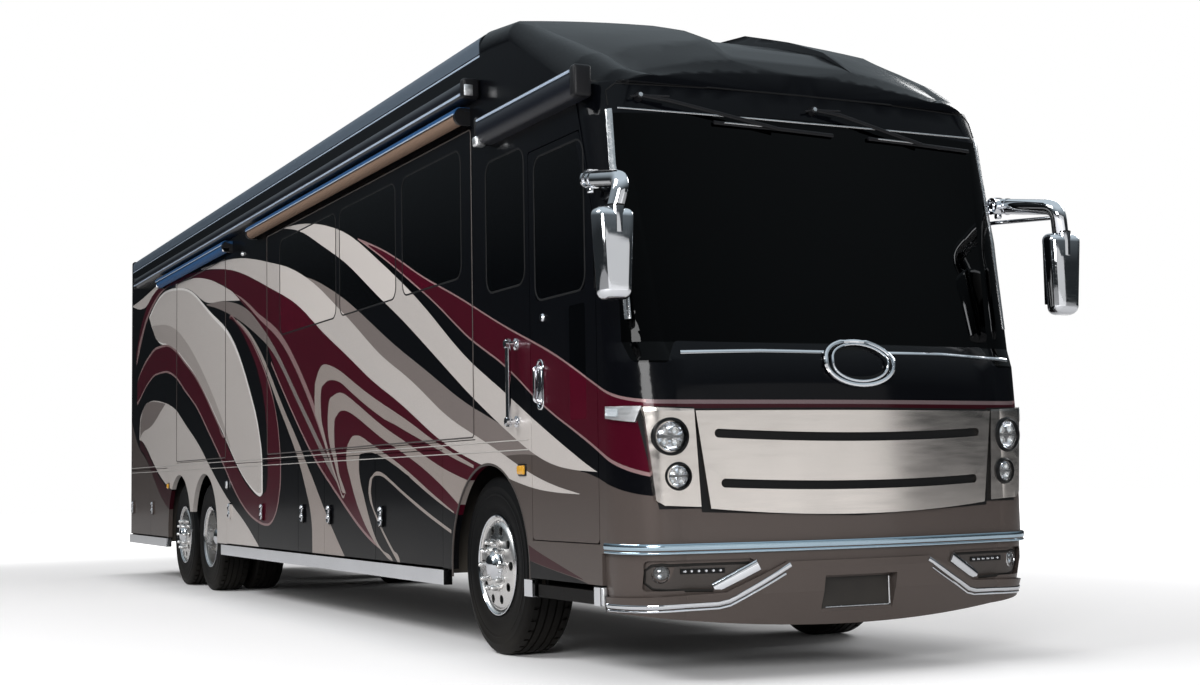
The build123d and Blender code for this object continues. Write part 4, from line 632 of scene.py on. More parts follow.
def moulded(name, colour, roughness, scale, strength, dust=0.2, top=0.9, depth=0.003, specular=0.2):
    """Moulded plastic or rubber: grain in its gloss, its colour and its surface, and road film."""
    made, tree, shader = start_material(name, colour, roughness, Specular_IOR_Level=specular)
    pebble = use_group(tree, grain, Scale=scale, Strength=strength, Depth=depth)
    tone = blend_colour(
        tree, pebble.outputs["Mask"], chart(*(value * 0.8 for value in colour)), chart(
            *(value * 1.15 for value in colour)
        )
    )
    dusty = use_group(tree, film, Colour=tone, Roughness=roughness, Amount=dust, Top=top)
    feed(
        tree, shader, Base_Color=dusty.outputs["Colour"], Roughness=dusty.outputs["Roughness"],
        Normal=pebble.outputs["Normal"],
    )
    return made


rubber = moulded("Tyre rubber", (10, 10, 11), 0.6, 170.0, 0.2, 0.06, 0.5, specular=0.1)
seal = moulded("Seal rubber", (16, 16, 17), 0.6, 240.0, 0.15, 0.1)
black_plastic = moulded("Black plastic", (24, 24, 26), 0.42, 420.0, 0.2)
chassis_coat = moulded("Chassis coating", (22, 22, 23), 0.6, 90.0, 0.3, 0.5, 1.2)
floor_board = moulded("Floor board", (20, 18, 17), 0.7, 60.0, 0.2, 0.0)
dash_plastic = moulded("Dash plastic", (40, 38, 37), 0.55, 520.0, 0.3, 0.0)
roof_plastic = moulded("Roof shell plastic", (38, 39, 42), 0.45, 300.0, 0.15, 0.0)
lamp_black = moulded("Lamp housing", (14, 14, 15), 0.3, 300.0, 0.1, 0.0)
pocket_paint = moulded("Pocket lining", (64, 60, 58), 0.45, 300.0, 0.1, 0.05)
belt_trim = moulded("Body-side bead", (62, 57, 55), 0.35, 300.0, 0.05, 0.1)
belt_line = moulded("Belt line bead", (168, 164, 160), 0.35, 300.0, 0.05, 0.1)
awning_blue = moulded("Blue awning cloth", (34, 72, 112), 0.6, 900.0, 0.3, 0.0)
awning_edge = moulded("Awning edge", (150, 164, 182), 0.35, 300.0, 0.05, 0.0)
# A pale blue-grey for the band along the roof's edge: a painted highlight of the sky.
roof_edge_painted_highlight = moulded("Roof edge band", (74, 84, 95), 0.35, 300.0, 0.05, 0.0)
awning_metal = moulded("Awning case", (25, 27, 33), 0.3, 150.0, 0.06, 0.0)
awning_cloth = moulded("Rolled awning cloth", (112, 92, 78), 0.8, 900.0, 0.3, 0.0)
print("plastics:", rubber.name, black_plastic.name)

# %% [markdown]
# ## Glass
# Privacy glass is dyed nearly black, and the stripes are painted straight across its lower part,
# so it shares the stripe group with the body. It is made as a glossy dark sheet, because nothing
# of the room shows through it by day. The windshield is clearer, so some light passes it.

# %% Glass


def striped_glass(name, tone, coat):
    """Dark glass that carries the painted sweeps."""
    made, tree, shader = start_material(name, tone, 0.07, Coat_Weight=coat, Specular_IOR_Level=0.08)
    sweeps = use_group(tree, stripes, Ground=chart(*tone))
    gloss = use_group(tree, film, Colour=sweeps.outputs["Colour"], Roughness=0.07, Amount=0.1, Top=1.5)
    feed(tree, shader, Base_Color=gloss.outputs["Colour"], Roughness=gloss.outputs["Roughness"])
    return made


def clear_cover(name, colour, transmission, roughness=0.03, specular=0.5, ripple=0.05):
    """A clear or coloured cover with faint moulding waves."""
    made, tree, shader = start_material(
        name, colour, roughness, Transmission_Weight=transmission, IOR=1.45, Specular_IOR_Level=specular
    )
    waves = use_group(tree, grain, Scale=40.0 if ripple > 0.01 else 1.5, Strength=ripple, Depth=0.002)
    feed(tree, shader, Normal=waves.outputs["Normal"])
    return made


side_glass = striped_glass("Privacy glass", (8, 9, 11), 0.05)
windshield_glass = clear_cover("Windshield glass", (3, 3, 4), 0.1, 0.02, 0.06, 0.008)
clear_lens = clear_cover("Clear lens", (235, 238, 240), 0.9)
red_lens = clear_cover("Red lens", (150, 12, 16), 0.35, 0.08)
amber_lens = clear_cover("Amber lens", (232, 170, 60), 0.3, 0.1)
print("glass:", side_glass.name, windshield_glass.name)

# %% [markdown]
# ## Leather
# The cab chairs are trimmed in leather. Its grain is a net of small cells with creases between
# them, which a Voronoi texture gives, over slow clouds of colour where it has been polished by use.

# %% Leather
leather, tree, shader = start_material("Chair leather", (96, 84, 74), 0.5, Sheen_Weight=0.1)
place = put(tree, "TexCoord")
cells = put(
    tree, "TexVoronoi", {"Vector": place.outputs["Object"], "Scale": 260.0}, feature="DISTANCE_TO_EDGE"
)
clouds = put(tree, "TexNoise", {"Vector": place.outputs["Object"], "Scale": 6.0, "Detail": 4.0})
tone = blend_colour(tree, clouds.outputs[0], chart(84, 72, 62), chart(112, 99, 86))
gloss = put(tree, "MapRange", {"Value": clouds.outputs[0], "To Min": 0.42, "To Max": 0.62})
crease = put(tree, "Bump", {"Height": cells.outputs[0], "Strength": 0.35, "Distance": 0.002})
feed(tree, shader, Base_Color=tone, Roughness=gloss.outputs[0], Normal=crease.outputs[0])
print("leather:", leather.name)

# %% [markdown]
# ## Finishing the solids
# Most solids keep the shape they came with and only need their finish. A table of name starts and
# materials does it in one loop, and the print shows at once if a solid was forgotten.

# %% Finishes for the solids
FINISHES = {
    "front_cap rear_cap roof side_wall slide_front slide_rear slide_left entry_door bay_door front_bumper "
    "engine_lid rear_bumper": body_paint,
    "side_glass slide_glass entry_door_glass": side_glass,
    "windshield": windshield_glass,
    "grille": grille_metal,
    "rocker_rails mirrors": chrome,
    "rim": polished,
    "tyre": rubber,
    "axles chassis crossmembers engine hitch knuckle bays wheel_wells": chassis_coat,
    "deck": floor_board,
    "dashboard": dash_plastic,
    "cab_seats": leather,
    "roof_units": roof_plastic,
    "awnings": awning_metal,
    "headlamps": clear_lens,
    "tail_lamps": red_lens,
}


def finish(piece, material):
    """Give a piece one material in its first slot."""
    piece.data.materials.clear()
    piece.data.materials.append(material)


bare = set(nodes)
for starts, material in FINISHES.items():
    for start in starts.split():
        for name in sorted(nodes):
            if name.startswith(start) and name in bare:
                finish(nodes[name], material)
                bare.discard(name)
for name in ("slide_glass_front_right", "slide_glass_left", "entry_door_glass"):
    finish(nodes[name], side_glass)
print("solids without a finish:", sorted(bare))
# %% [markdown]
# ## Making pieces
# The fittings are made the way a workshop makes them: turned on a lathe, bent from bar, pressed
# from sheet or cut from a block. A few helpers do these four jobs on a mesh in memory, and one more
# turns the finished mesh into an object that rides a body. Every piece keeps its place in its
# mesh, so nothing has to be moved afterwards.

# %% Workshop helpers


def new_piece(name, shape, material, rider=BODY, sharp=35.0):
    """Turn a mesh in memory into an object that rides a body."""
    bmesh.ops.recalc_face_normals(shape, faces=shape.faces)
    mesh = bpy.data.meshes.new(name)
    shape.to_mesh(mesh)
    shape.free()
    mesh.shade_smooth()
    mesh.set_sharp_from_angle(angle=math.radians(sharp))
    piece = bpy.data.objects.new(name, mesh)
    bpy.context.collection.objects.link(piece)
    finish(piece, material)
    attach(piece, rider)
    return piece


def round_edges(shape, corners, radius, steps):
    """Round all the edges that meet in some corners."""
    lines = {line for corner in corners for line in corner.link_edges}
    bmesh.ops.bevel(
        shape, geom=list(lines), offset=radius, segments=steps, profile=0.5, affect="EDGES", material=-1
    )


def add_block(shape, low, high, edge=0.0, steps=2):
    """A box between two corners, with rounded edges if an edge radius is given."""
    low, high = Vector(low), Vector(high)
    scale = Matrix.Diagonal((*(high - low), 1.0))
    made = bmesh.ops.create_cube(shape, size=1.0, matrix=Matrix.Translation((low + high) / 2) @ scale)
    if edge:
        round_edges(shape, made["verts"], edge, steps)


def add_fitting(shape, side, along, up, out, edge, steps=2):
    """A block on a side wall between two places along it and two heights, standing out from it."""
    wall = side * HALF_WIDTH
    near, far = sorted((wall, wall + side * out))
    add_block(shape, (along[0], near, up[0]), (along[1], far, up[1]), edge, steps)


def add_lathe(shape, profile, centre, axis, steps=48):
    """Turn a profile of (radius, distance along the axis) points round an axis."""
    axis, centre = Vector(axis).normalized(), Vector(centre)
    outwards = axis.orthogonal().normalized()
    corners = [shape.verts.new(centre + outwards * radius + axis * along) for radius, along in profile]
    lines = [shape.edges.new(pair) for pair in zip(corners, corners[1:])]
    bmesh.ops.spin(
        shape, geom=corners + lines, cent=centre, axis=axis, angle=math.tau, steps=steps, use_merge=True
    )
    bmesh.ops.remove_doubles(shape, verts=shape.verts, dist=1e-5)


def round_route(corners, bend, steps=6):
    """The points of a bar's route, with each inner corner rounded."""
    corners = [Vector(corner) for corner in corners]
    route = [corners[0]]
    for before, corner, after in zip(corners, corners[1:], corners[2:]):
        start = corner + (before - corner).normalized() * bend
        end = corner + (after - corner).normalized() * bend
        for step in range(steps + 1):
            share = step / steps
            route.append(start.lerp(corner, share).lerp(corner.lerp(end, share), share))
    return route + [corners[-1]]


def add_sweep(shape, route, facing, half_wide, half_thick, sides=12):
    """Sweep an oval along a route; facing is the way its flat side looks, one for all or one each."""
    route = [Vector(point) for point in route]
    loops = []
    for index, point in enumerate(route):
        way = (route[min(index + 1, len(route) - 1)] - route[max(index - 1, 0)]).normalized()
        looks = Vector(facing[index] if isinstance(facing, list) else facing)
        across = way.cross(looks).normalized()
        looks = across.cross(way)
        turn = Matrix((across * half_wide, looks * half_thick, way)).transposed().to_4x4()
        ring = bmesh.ops.create_circle(
            shape, segments=sides, radius=1.0, cap_ends=index in (0, len(route) - 1),
            matrix=Matrix.Translation(point) @ turn
        )
        loops.append(list({line for corner in ring["verts"] for line in corner.link_edges}))
    for first, second in zip(loops, loops[1:]):
        bmesh.ops.bridge_loops(shape, edges=first + second)


# %% [markdown]
# ## Laying trim on a curved skin
# Trim on the nose and the sides follows a curved skin. A fitter lays it on and presses it down.
# Here a ray from outside finds the skin under every point of the trim, with the way it faces.

# %% Skin helpers


def skin_of(*names):
    """The surface of some solids, ready to be touched by rays."""
    shell = bmesh.new()
    for name in names:
        shell.from_mesh(nodes[name].data)
    skin = BVHTree.FromBMesh(shell)
    shell.free()
    return skin


def cast(skin, start, way):
    """The first point of a skin along a ray; one that slips through a seam is tried beside it."""
    for nudge in (0.0, 0.0007, -0.0008, 0.0023, -0.0021, 0.006, -0.006):
        point, looks = skin.ray_cast(
            Vector(start) + Vector((nudge, nudge * 0.8, nudge * 0.9)), Vector(way)
        )[:2]
        if point is not None:
            return point, looks
    return None, None


def on_front(skin, across, height):
    """The point of a skin met from ahead, and the way it faces."""
    return cast(skin, (station(6), across, height), (-1, 0, 0))


def on_side(skin, side, ahead, height):
    """The point of a skin met from one side, and the way it faces."""
    return cast(skin, (station(ahead), 4.0 * side, height), (0, -side, 0))


def walk(corners, pace=0.04):
    """Points along a broken line, at most a pace apart."""
    points = []
    for first, second in zip(corners, corners[1:]):
        count = max(1, math.ceil(math.dist(first, second) / pace))
        points += [
            tuple(a + (b - a) * step / count for a, b in zip(first, second)) for step in range(count)
        ]
    return points + [tuple(corners[-1])]


def lay_bar(shape, skin, corners, half_wide, half_thick, lift=0.0, touch=on_front, sides=10):
    """Lay a bar of oval section on a skin along a broken line."""
    found = [touch(skin, *point) for point in walk(corners)]
    found = [(point, looks) for point, looks in found if point is not None]
    route = [point + looks * lift for point, looks in found]
    add_sweep(shape, route, [looks for point, looks in found], half_wide, half_thick, sides)


def lay_sheet(shape, skin, corners, lift, thick, cells=(24, 8), touch=on_front):
    """Lay a sheet on a skin between four corners, left open where the skin has a hole."""
    made = bmesh.ops.create_grid(shape, x_segments=cells[0], y_segments=cells[1], size=0.5)["verts"]
    first, second, third, fourth = (Vector(corner) for corner in corners)
    open_air = []
    for corner in made:
        low = first.lerp(second, corner.co.x + 0.5)
        high = fourth.lerp(third, corner.co.x + 0.5)
        point, looks = touch(skin, *low.lerp(high, corner.co.y + 0.5))
        if point is None:
            open_air.append(corner)
        else:
            corner.co = point + looks * lift
    bmesh.ops.delete(shape, geom=open_air, context="VERTS")
    made = [corner for corner in made if corner.is_valid]
    faces = list({face for corner in made for face in corner.link_faces})
    bmesh.ops.recalc_face_normals(shape, faces=faces)
    bmesh.ops.solidify(shape, geom=faces, thickness=thick)


cap_skin = skin_of("front_cap")
bumper_skin = skin_of("front_bumper")
glass_skin = skin_of("windshield", "front_cap")
print("skins ready")
# %% [markdown]
# ## Shell of the front cap
# The cap is one moulding with soft curves. Its solid is tiled with flat facets, and each facet
# catches the light alone. A copy with joined corners can be shaded softly where the facets meet at
# a small angle, and stays sharp at the real edges.

# %% Front cap shell
shape = bmesh.new()
shape.from_mesh(nodes["front_cap"].data)
bmesh.ops.remove_doubles(shape, verts=shape.verts, dist=2e-4)
cap_shell = new_piece("front_cap_shell", shape, body_paint, sharp=32.0)
even = cap_shell.modifiers.new("even shading", "WEIGHTED_NORMAL")
even.keep_sharp, even.weight = True, 90
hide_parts("front_cap")
print("cap corners:", len(cap_shell.data.vertices))

# %% [markdown]
# ## Lamp and grille panels
# The wide panel and the two lamp panels are pressed from bright sheet and stand a little proud of
# the nose on a black backing. The gaps between them, and the two long openings, are dark because
# one sees that backing. Paint on the nose could fake it, but the slots would look painted on.

# %% Backing and panel edges
shape = bmesh.new()
for side in (-1, 1):
    lay_sheet(
        shape, cap_skin, [(0, 0.826), (side * 0.9, 0.862), (side * 0.972, 1.392), (0, 1.394)], 0.003, 0.004
    )
    lay_sheet(
        shape, cap_skin,
        [(side * 0.9, 0.882), (side * 1.125, 0.882), (side * 1.222, 1.405), (side * 0.93, 1.398)], 0.004,
        0.004,
    )
new_piece("nose_backing", shape, seal)

# %% [markdown]
# ## Headlamps
# Each side has two round lamps, the larger over the smaller. A lamp is a black ring round a bright
# bowl, with a bar across it, four bright spots and a clear dome in front. Its round parts are
# turned. One ball would be quicker, but a lamp is looked into, and it would seem solid.

# %% Headlamps
LAMPS = [(1.066, 1.249, 0.076, 1.935), (1.031, 1.047, 0.056, 1.945)]
bezels, bowls, domes, slats = bmesh.new(), bmesh.new(), bmesh.new(), bmesh.new()
for side in (-1, 1):
    for across, height, radius, ahead in LAMPS:
        centre, looks = (station(ahead), side * across, height), Vector((1, side * 0.2, 0)).normalized()
        add_lathe(
            bezels,
            [
                (radius * 1.48, -0.012), (radius * 1.46, 0.008), (radius * 1.36, 0.016),
                (radius * 1.26, 0.034),
                (radius * 1.12, 0.04), (radius, 0.024), (radius, -0.012),
            ],
            centre, looks,
        )
        add_lathe(
            bowls,
            [(0.0, -0.06), (radius * 0.35, -0.055), (radius * 0.75, -0.03), (radius * 0.98, 0.012)],
            centre, looks,
        )
        add_lathe(
            domes,
            [(radius, 0.012), (radius * 0.9, 0.026), (radius * 0.55, 0.037), (0.0, 0.041)],
            centre, looks,
        )
        for turn in range(4):
            angle = math.radians(45 + 90 * turn)
            spot = Vector(centre) + Vector(
                (-0.02, math.cos(angle) * radius * 0.5, math.sin(angle) * radius * 0.5)
            )
            add_lathe(
                slats, [(0.0, 0.0), (radius * 0.18, 0.004), (radius * 0.26, 0.02)], spot, (1, 0, 0), steps=20
            )
        reach = Vector((0.012, radius * 0.9, radius * 0.09))
        add_block(bezels, Vector(centre) - reach + Vector((-0.01, 0, 0)), Vector(centre) + reach, 0.002)
new_piece("headlamp_bezels", bezels, lamp_black)
new_piece("headlamp_bowls", bowls, chrome)
new_piece("headlamp_spots", slats, polished)
lamp_domes = new_piece("headlamp_domes", domes, clear_lens)
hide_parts("headlamps")
print("headlamps:", len(LAMPS) * 2)

# %% [markdown]
# ## Badge ring and bright strip
# Over the grille sits an oval ring with a plain dark plate in it, and a thin bright strip runs from
# the ring towards both corners under the glass. The ring is a double bead. It is swept along an
# oval that is laid on the nose, because the nose curves away under it.

# %% Badge ring and strip
BADGE = (0.04, 1.63, 0.215, 0.118)  # across, height, half width, half height


def oval(across, height, half_wide, half_high, count=48):
    """The points of an upright oval, closed."""
    turns = [math.tau * step / count for step in range(count + 1)]
    return [(across + half_wide * math.cos(turn), height + half_high * math.sin(turn)) for turn in turns]


shape = bmesh.new()
for share, width, lift in ((1.0, 0.0125, 0.017), (0.82, 0.007, 0.02)):
    lay_bar(
        shape, glass_skin, oval(*BADGE[:2], BADGE[2] * share, BADGE[3] * share), width, width * 0.8, lift,
        sides=8,
    )
for reach, height in ((-0.97, 1.664), (1.16, 1.655)):
    begin = 0.04 + math.copysign(0.2, reach)
    lay_bar(
        shape, glass_skin, [(begin, 1.69), (reach * 0.55, 1.693), (reach, height + 0.02)], 0.011, 0.005,
        0.002,
    )
new_piece("nose_brightwork", shape, chrome)
plate = bmesh.new()
route = [on_front(glass_skin, *point)[0] + Vector((0.012, 0, 0)) for point in oval(*BADGE, 40)[:-1]]
rim = [plate.verts.new(point) for point in route]
lines = [plate.edges.new((rim[index], rim[(index + 1) % len(rim)])) for index in range(len(rim))]
bmesh.ops.triangle_fill(plate, edges=lines, use_beauty=True)
bmesh.ops.solidify(plate, geom=list(plate.faces), thickness=0.008)
new_piece("badge_plate", plate, lamp_black)

# %% [markdown]
# ## Top of the windshield
# Over the glass the cap carries a dark band with the wiper pivots, closed by a seam above and a
# thin bright line at the glass. Wipers that hang from above are usual on such a wide screen. Each
# is an arm pressed from flat bar, with a spring hook at the pivot, and a blade laid on the glass.

# %% Windshield surround
shape = bmesh.new()
lay_bar(
    shape, glass_skin, [(-1.16, 3.008), (-0.6, 3.006), (0, 3.004), (0.6, 3.006), (1.16, 3.008)], 0.0045,
    0.003, 0.001,
)
new_piece("glass_top_line", shape, stainless)
seam = bmesh.new()
for side in (-1, 1):
    lay_bar(
        seam, glass_skin,
        [(side * 1.205, 3.02), (side * 1.2, 3.11), (side * 1.15, 3.15), (side * 0.6, 3.165), (0, 3.168)],
        0.005, 0.004, 0.0,
    )
new_piece("cap_seam", seam, seal)
# Painted highlight: a stainless strip is laid up each rounded corner beside the glass, where that corner
# shows a bright reflection.
pillar_highlights = bmesh.new()
for side in (-1, 1):
    corners = [(side * 1.212, 1.86), (side * 1.212, 2.3), (side * 1.215, 2.7), (side * 1.205, 3.0)]
    lay_bar(pillar_highlights, glass_skin, corners, 0.019, 0.006, 0.001)
new_piece("pillar_trim", pillar_highlights, stainless)

# %% Wipers
WIPERS = [(-1.03, (-0.6, 0.16), 2.95), (0.05, (0.4, 1.12), 2.93)]
arms, blades, clips = bmesh.new(), bmesh.new(), bmesh.new()
for pivot, (start, end), height in WIPERS:
    hub, looks = on_front(glass_skin, pivot, 3.075)
    add_lathe(arms, [(0.0, 0.035), (0.02, 0.033), (0.026, 0.0)], hub, looks, steps=24)
    middle = (start + end) / 2
    holder = on_front(glass_skin, middle, height)[0] + Vector((0.035, 0, 0))
    elbow = on_front(glass_skin, pivot + 0.16, 3.06)[0] + Vector((0.045, 0, 0))
    add_sweep(arms, [hub + looks * 0.03, elbow, holder], (1, 0, 0), 0.011, 0.006)
    add_sweep(
        arms,
        [
            hub + looks * 0.028 + Vector((0, -0.06, -0.012)), hub + looks * 0.028,
            elbow + Vector((0, 0, 0.022)),
        ],
        (1, 0, 0), 0.006, 0.005,
    )
    lay_bar(
        blades, glass_skin, [(start, height + 0.008), (middle, height), (end, height - 0.012)], 0.012,
        0.009, 0.012,
    )
    lay_bar(
        clips, glass_skin, [(start + 0.06, height + 0.006), (start + 0.34, height + 0.002)], 0.004, 0.003,
        0.024,
    )
    add_lathe(clips, [(0.0, 0.042), (0.012, 0.041), (0.014, 0.03)], hub, looks, steps=20)
new_piece("wiper_arms", arms, black_plastic)
new_piece("wiper_blades", blades, black_plastic)
new_piece("wiper_clips", clips, stainless)

# %% [markdown]
# ## Side markers
# A small bright housing wraps each corner beside the lamp panel, with a clear lamp in it.

# %% Side markers
cases, lenses = bmesh.new(), bmesh.new()
side_skin = skin_of(
    "side_wall_right", "side_wall_left", "front_cap", "entry_door", "slide_front_right", "slide_left"
)
for side in (-1, 1):
    lay_sheet(
        cases, side_skin,
        [(side, 1.70, 1.35), (side, 1.86, 1.325), (side, 1.88, 1.405), (side, 1.70, 1.412)], 0.022, 0.022,
        (8, 4), on_side,
    )
    lay_sheet(
        lenses, side_skin,
        [(side, 1.715, 1.362), (side, 1.785, 1.355), (side, 1.79, 1.398), (side, 1.715, 1.4)], 0.03, 0.012,
        (6, 4), on_side,
    )
new_piece("side_marker_cases", cases, satin_block)
new_piece("side_marker_lenses", lenses, clear_lens)
print("nose done")
# %% [markdown]
# ## Bumper trim
# The bumper is painted like the body and carries bright lines: a bead under its top edge and a lip
# that drops from the middle tier to run along both ends. In each end is a pocket with a round fog
# lamp, a strip of six small lights and a slanted bright blade. The middle has a recess for a plate,
# which is left blank.

# %% Bright lines


def on_round(skin, turn, height):
    """The point of a skin met by a ray towards a post inside the nose, so a line can turn its corner."""
    way = Vector((math.cos(turn), math.sin(turn), 0))
    return cast(skin, Vector((station(1.2), 0, height)) + way * 4, -way)


beads, lips = bmesh.new(), bmesh.new()
for side in (-1, 1):
    lay_bar(
        beads, bumper_skin, [(0, 0.688), (side * 1.05, 0.69), (side * 1.25, 0.694)], 0.017, 0.006, 0.001,
        on_round,
    )
    lay_bar(
        beads, bumper_skin, [(0, 0.66), (side * 1.05, 0.66), (side * 1.25, 0.664)], 0.006, 0.004, 0.0,
        on_round,
    )
    for drop, width, first in ((0.0, 0.012, 0.473), (0.045, 0.006, 0.5)):
        corners = [
            (side * first, 0.584 - drop), (side * 0.776, 0.408 - drop * 0.5),
            (side * 0.822, 0.396 - drop * 0.5),
            (side * 1.043, 0.388 - drop * 0.5), (side * 1.245, 0.39 - drop * 0.5),
        ]
        lay_bar(lips, bumper_skin, corners, width, 0.006, 0.003, on_round)
new_piece("bumper_bead", beads, bead_metal_painted_sky)
new_piece("bumper_lip", lips, chrome)

# %% Fog lamp pockets
FOG = (1.106, 0.556, 0.039)  # across, height and radius
STRIP_LIGHTS, STRIP_PITCH = 6, 0.038
floors, rings, bowls, domes, strips, dots, wings = (bmesh.new() for _ in range(7))
for side in (-1, 1):
    across, height, radius = FOG
    beside = [on_front(bumper_skin, side * place, height)[0] for place in (1.03, 1.18)]
    hub, looks = Vector(((beside[0].x + beside[1].x) / 2, side * across, height)), (1, side * 0.45, 0)
    add_lathe(
        rings,
        [
            (radius * 1.34, -0.03), (radius * 1.3, 0.004), (radius * 1.12, 0.012), (radius, 0.002),
            (radius, -0.03),
        ],
        hub, looks, 36,
    )
    add_lathe(bowls, [(0.0, -0.03), (radius * 0.6, -0.02), (radius, 0.0)], hub, looks, 32)
    add_lathe(domes, [(radius, 0.0), (radius * 0.6, 0.008), (0.0, 0.011)], hub, looks, 32)
    for rise, size in ((0.35, 0.2), (-0.35, 0.3)):
        spot = hub + Vector((-0.012, 0, radius * rise))
        add_lathe(dots, [(0.0, 0.008), (radius * size * 0.8, 0.005), (radius * size, 0.0)], spot, looks, 16)
    corners = [(side * 1.165, 0.478), (side * 0.82, 0.476), (side * 0.64, 0.594), (side * 1.175, 0.592)]
    lay_sheet(floors, bumper_skin, corners, 0.002, 0.002, (16, 6))
    lay_sheet(
        strips, bumper_skin,
        [(side * 1.014, 0.553), (side * 0.776, 0.553), (side * 0.776, 0.578), (side * 1.014, 0.578)], 0.007,
        0.005, (10, 2),
    )
    for index in range(STRIP_LIGHTS):
        spot, looks = on_front(bumper_skin, side * (0.99 - index * STRIP_PITCH), 0.5655)
        add_lathe(dots, [(0.0, 0.014), (0.006, 0.013), (0.01, 0.006)], spot, looks, 16)
    ends = [
        on_front(bumper_skin, side * place, level)[0] + Vector((0.014, 0, 0))
        for place, level in ((0.83, 0.472), (0.61, 0.588))
    ]
    add_sweep(wings, ends, (1, side * 0.25, 0), 0.028, 0.006, 16)
# Painted shade: a dark bar runs round each pocket's rim, where the pocket's edge falls into shadow.
edges = bmesh.new()
for side in (-1, 1):
    corners = [
        (0.64, 0.598), (1.15, 0.596), (1.178, 0.572), (1.176, 0.51), (1.14, 0.478), (1.06, 0.47),
        (0.84, 0.464),
    ]
    lay_bar(edges, bumper_skin, [(side * across, height) for across, height in corners], 0.008, 0.004, 0.0)
new_piece("fog_pocket_edges", edges, seal)
new_piece("fog_pocket_floors", floors, pocket_paint)
new_piece("fog_lamp_rings", rings, stainless)
new_piece("fog_lamp_bowls", bowls, lamp_black)
new_piece("fog_lamp_domes", domes, clear_lens)
new_piece("light_strips", strips, lamp_black)
new_piece("light_strip_dots", dots, chrome)
new_piece("bumper_blades", wings, chrome)

# %% Plate recess and step brackets
shape = bmesh.new()
lay_sheet(
    shape, bumper_skin, [(-0.215, 0.345), (0.215, 0.345), (0.215, 0.505), (-0.215, 0.505)], 0.003, 0.004,
    (6, 3),
)
new_piece("plate_backing", shape, black_plastic)
# Painted highlight: bright bars lie only along the recess's lower edge and one end, where its rim catches
# the light.
shape = bmesh.new()
lay_bar(shape, bumper_skin, [(-0.2, 0.352), (0.2, 0.352)], 0.004, 0.004, 0.008)
lay_bar(shape, bumper_skin, [(0.207, 0.355), (0.207, 0.5)], 0.006, 0.004, 0.008)
new_piece("plate_edge", shape, stainless)
blocks = bmesh.new()
wall, foot = -(HALF_WIDTH + 0.004), 0.385
for ahead in (0.66, 1.555):
    x = station(ahead)
    add_block(blocks, (x - 0.055, wall, foot), (x + 0.055, wall + 0.03, foot + 0.095), 0.006, 3)
new_piece("step_bracket_caps", blocks, satin_block)
print("bumper done")
# %% [markdown]
# ## Mirrors
# The mirrors hang from bright arms at the upper corners of the windshield. An arm is a thick tube
# that reaches out and forward and turns down into the head. The head is a tapered shell with round
# edges, and its back side holds dark glass. Tube is bent round a former, so the arm is swept along
# a route with a round corner, and the shell is a block that is narrowed below and then rounded.

# %% Mirror arms and heads
ARM = [(1.602, 1.335, 2.612), (2.09, 1.38, 2.534), (2.066, 1.418, 2.36)]  # station, reach and height
HEAD = [(2.057, 1.425, 2.157), (0.065, 0.108, 0.237)]  # middle and half sizes
arms, heads, glasses, grooves = (bmesh.new() for _ in range(4))
for side in (-1, 1):
    corners = [(station(ahead), side * reach, height) for ahead, reach, height in ARM]
    add_sweep(arms, round_route(corners, 0.075, 8), (0, 0, 1), 0.045, 0.045, 24)
    for share, radius, width in ((0.035, 0.052, 0.014), (0.2, 0.049, 0.006)):
        centre = Vector(corners[0]).lerp(Vector(corners[1]), share)
        way = Vector(corners[1]) - Vector(corners[0])
        add_lathe(
            arms,
            [(radius - 0.012, -width), (radius, -width), (radius, width), (radius - 0.012, width)], centre,
            way, 32,
        )
    add_lathe(
        arms, [(0.0, -0.082), (0.018, -0.078), (0.022, -0.065), (0.016, -0.03)],
        Vector(corners[0]) + Vector((0.02, 0, 0)), (0, 0, 1), 20,
    )
    add_lathe(
        arms, [(0.0, 0.075), (0.038, 0.07), (0.042, 0.04), (0.046, 0.0), (0.05, -0.012)],
        (station(1.655), side * 1.272, 2.6), (0, side, 0), 28,
    )
    add_sweep(
        arms,
        [
            (station(1.63), side * 1.262, 2.5), (station(1.66), side * 1.268, 2.5),
            (station(2.05), side * 1.385, 2.48),
        ],
        (0, 0, 1), 0.012, 0.012,
    )
    centre, half = Vector((station(HEAD[0][0]), side * HEAD[0][1], HEAD[0][2])), Vector(HEAD[1])
    made = bmesh.ops.create_cube(
        heads, size=2.0, matrix=Matrix.Translation(centre) @ Matrix.Diagonal((*half, 1.0))
    )
    for corner in made["verts"]:
        if corner.co.z < centre.z:
            corner.co.y = centre.y + (corner.co.y - centre.y) * 0.8 - side * 0.004
            corner.co.x = centre.x + (corner.co.x - centre.x) * 0.86
        if corner.co.x > centre.x:
            corner.co.z = centre.z + (corner.co.z - centre.z) * 0.96
    round_edges(heads, made["verts"], 0.045, 6)
    back = station(HEAD[0][0]) - half.x
    add_block(
        glasses, (back - 0.004, centre.y - 0.078, centre.z - 0.17),
        (back + 0.01, centre.y + 0.078, centre.z + 0.19), 0.003
    )
    end = Vector(corners[2])
    add_lathe(
        heads, [(0.0, -0.115), (0.03, -0.112), (0.045, -0.1), (0.047, -0.02), (0.046, 0.04)],
        end + Vector((0.012, 0, 0)), (0, 0, 1), 32,
    )
    add_lathe(
        grooves, [(0.045, -0.004), (0.0475, -0.004), (0.0475, 0.004), (0.045, 0.004)],
        end + Vector((0.012, 0, 0.035)), (0, 0, 1), 32,
    )
mirror_arms = new_piece("mirror_arms", arms, chrome)
new_piece("mirror_heads", heads, chrome)
new_piece("mirror_glass", glasses, side_glass)
new_piece("mirror_grooves", grooves, lamp_black)
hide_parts("mirrors")
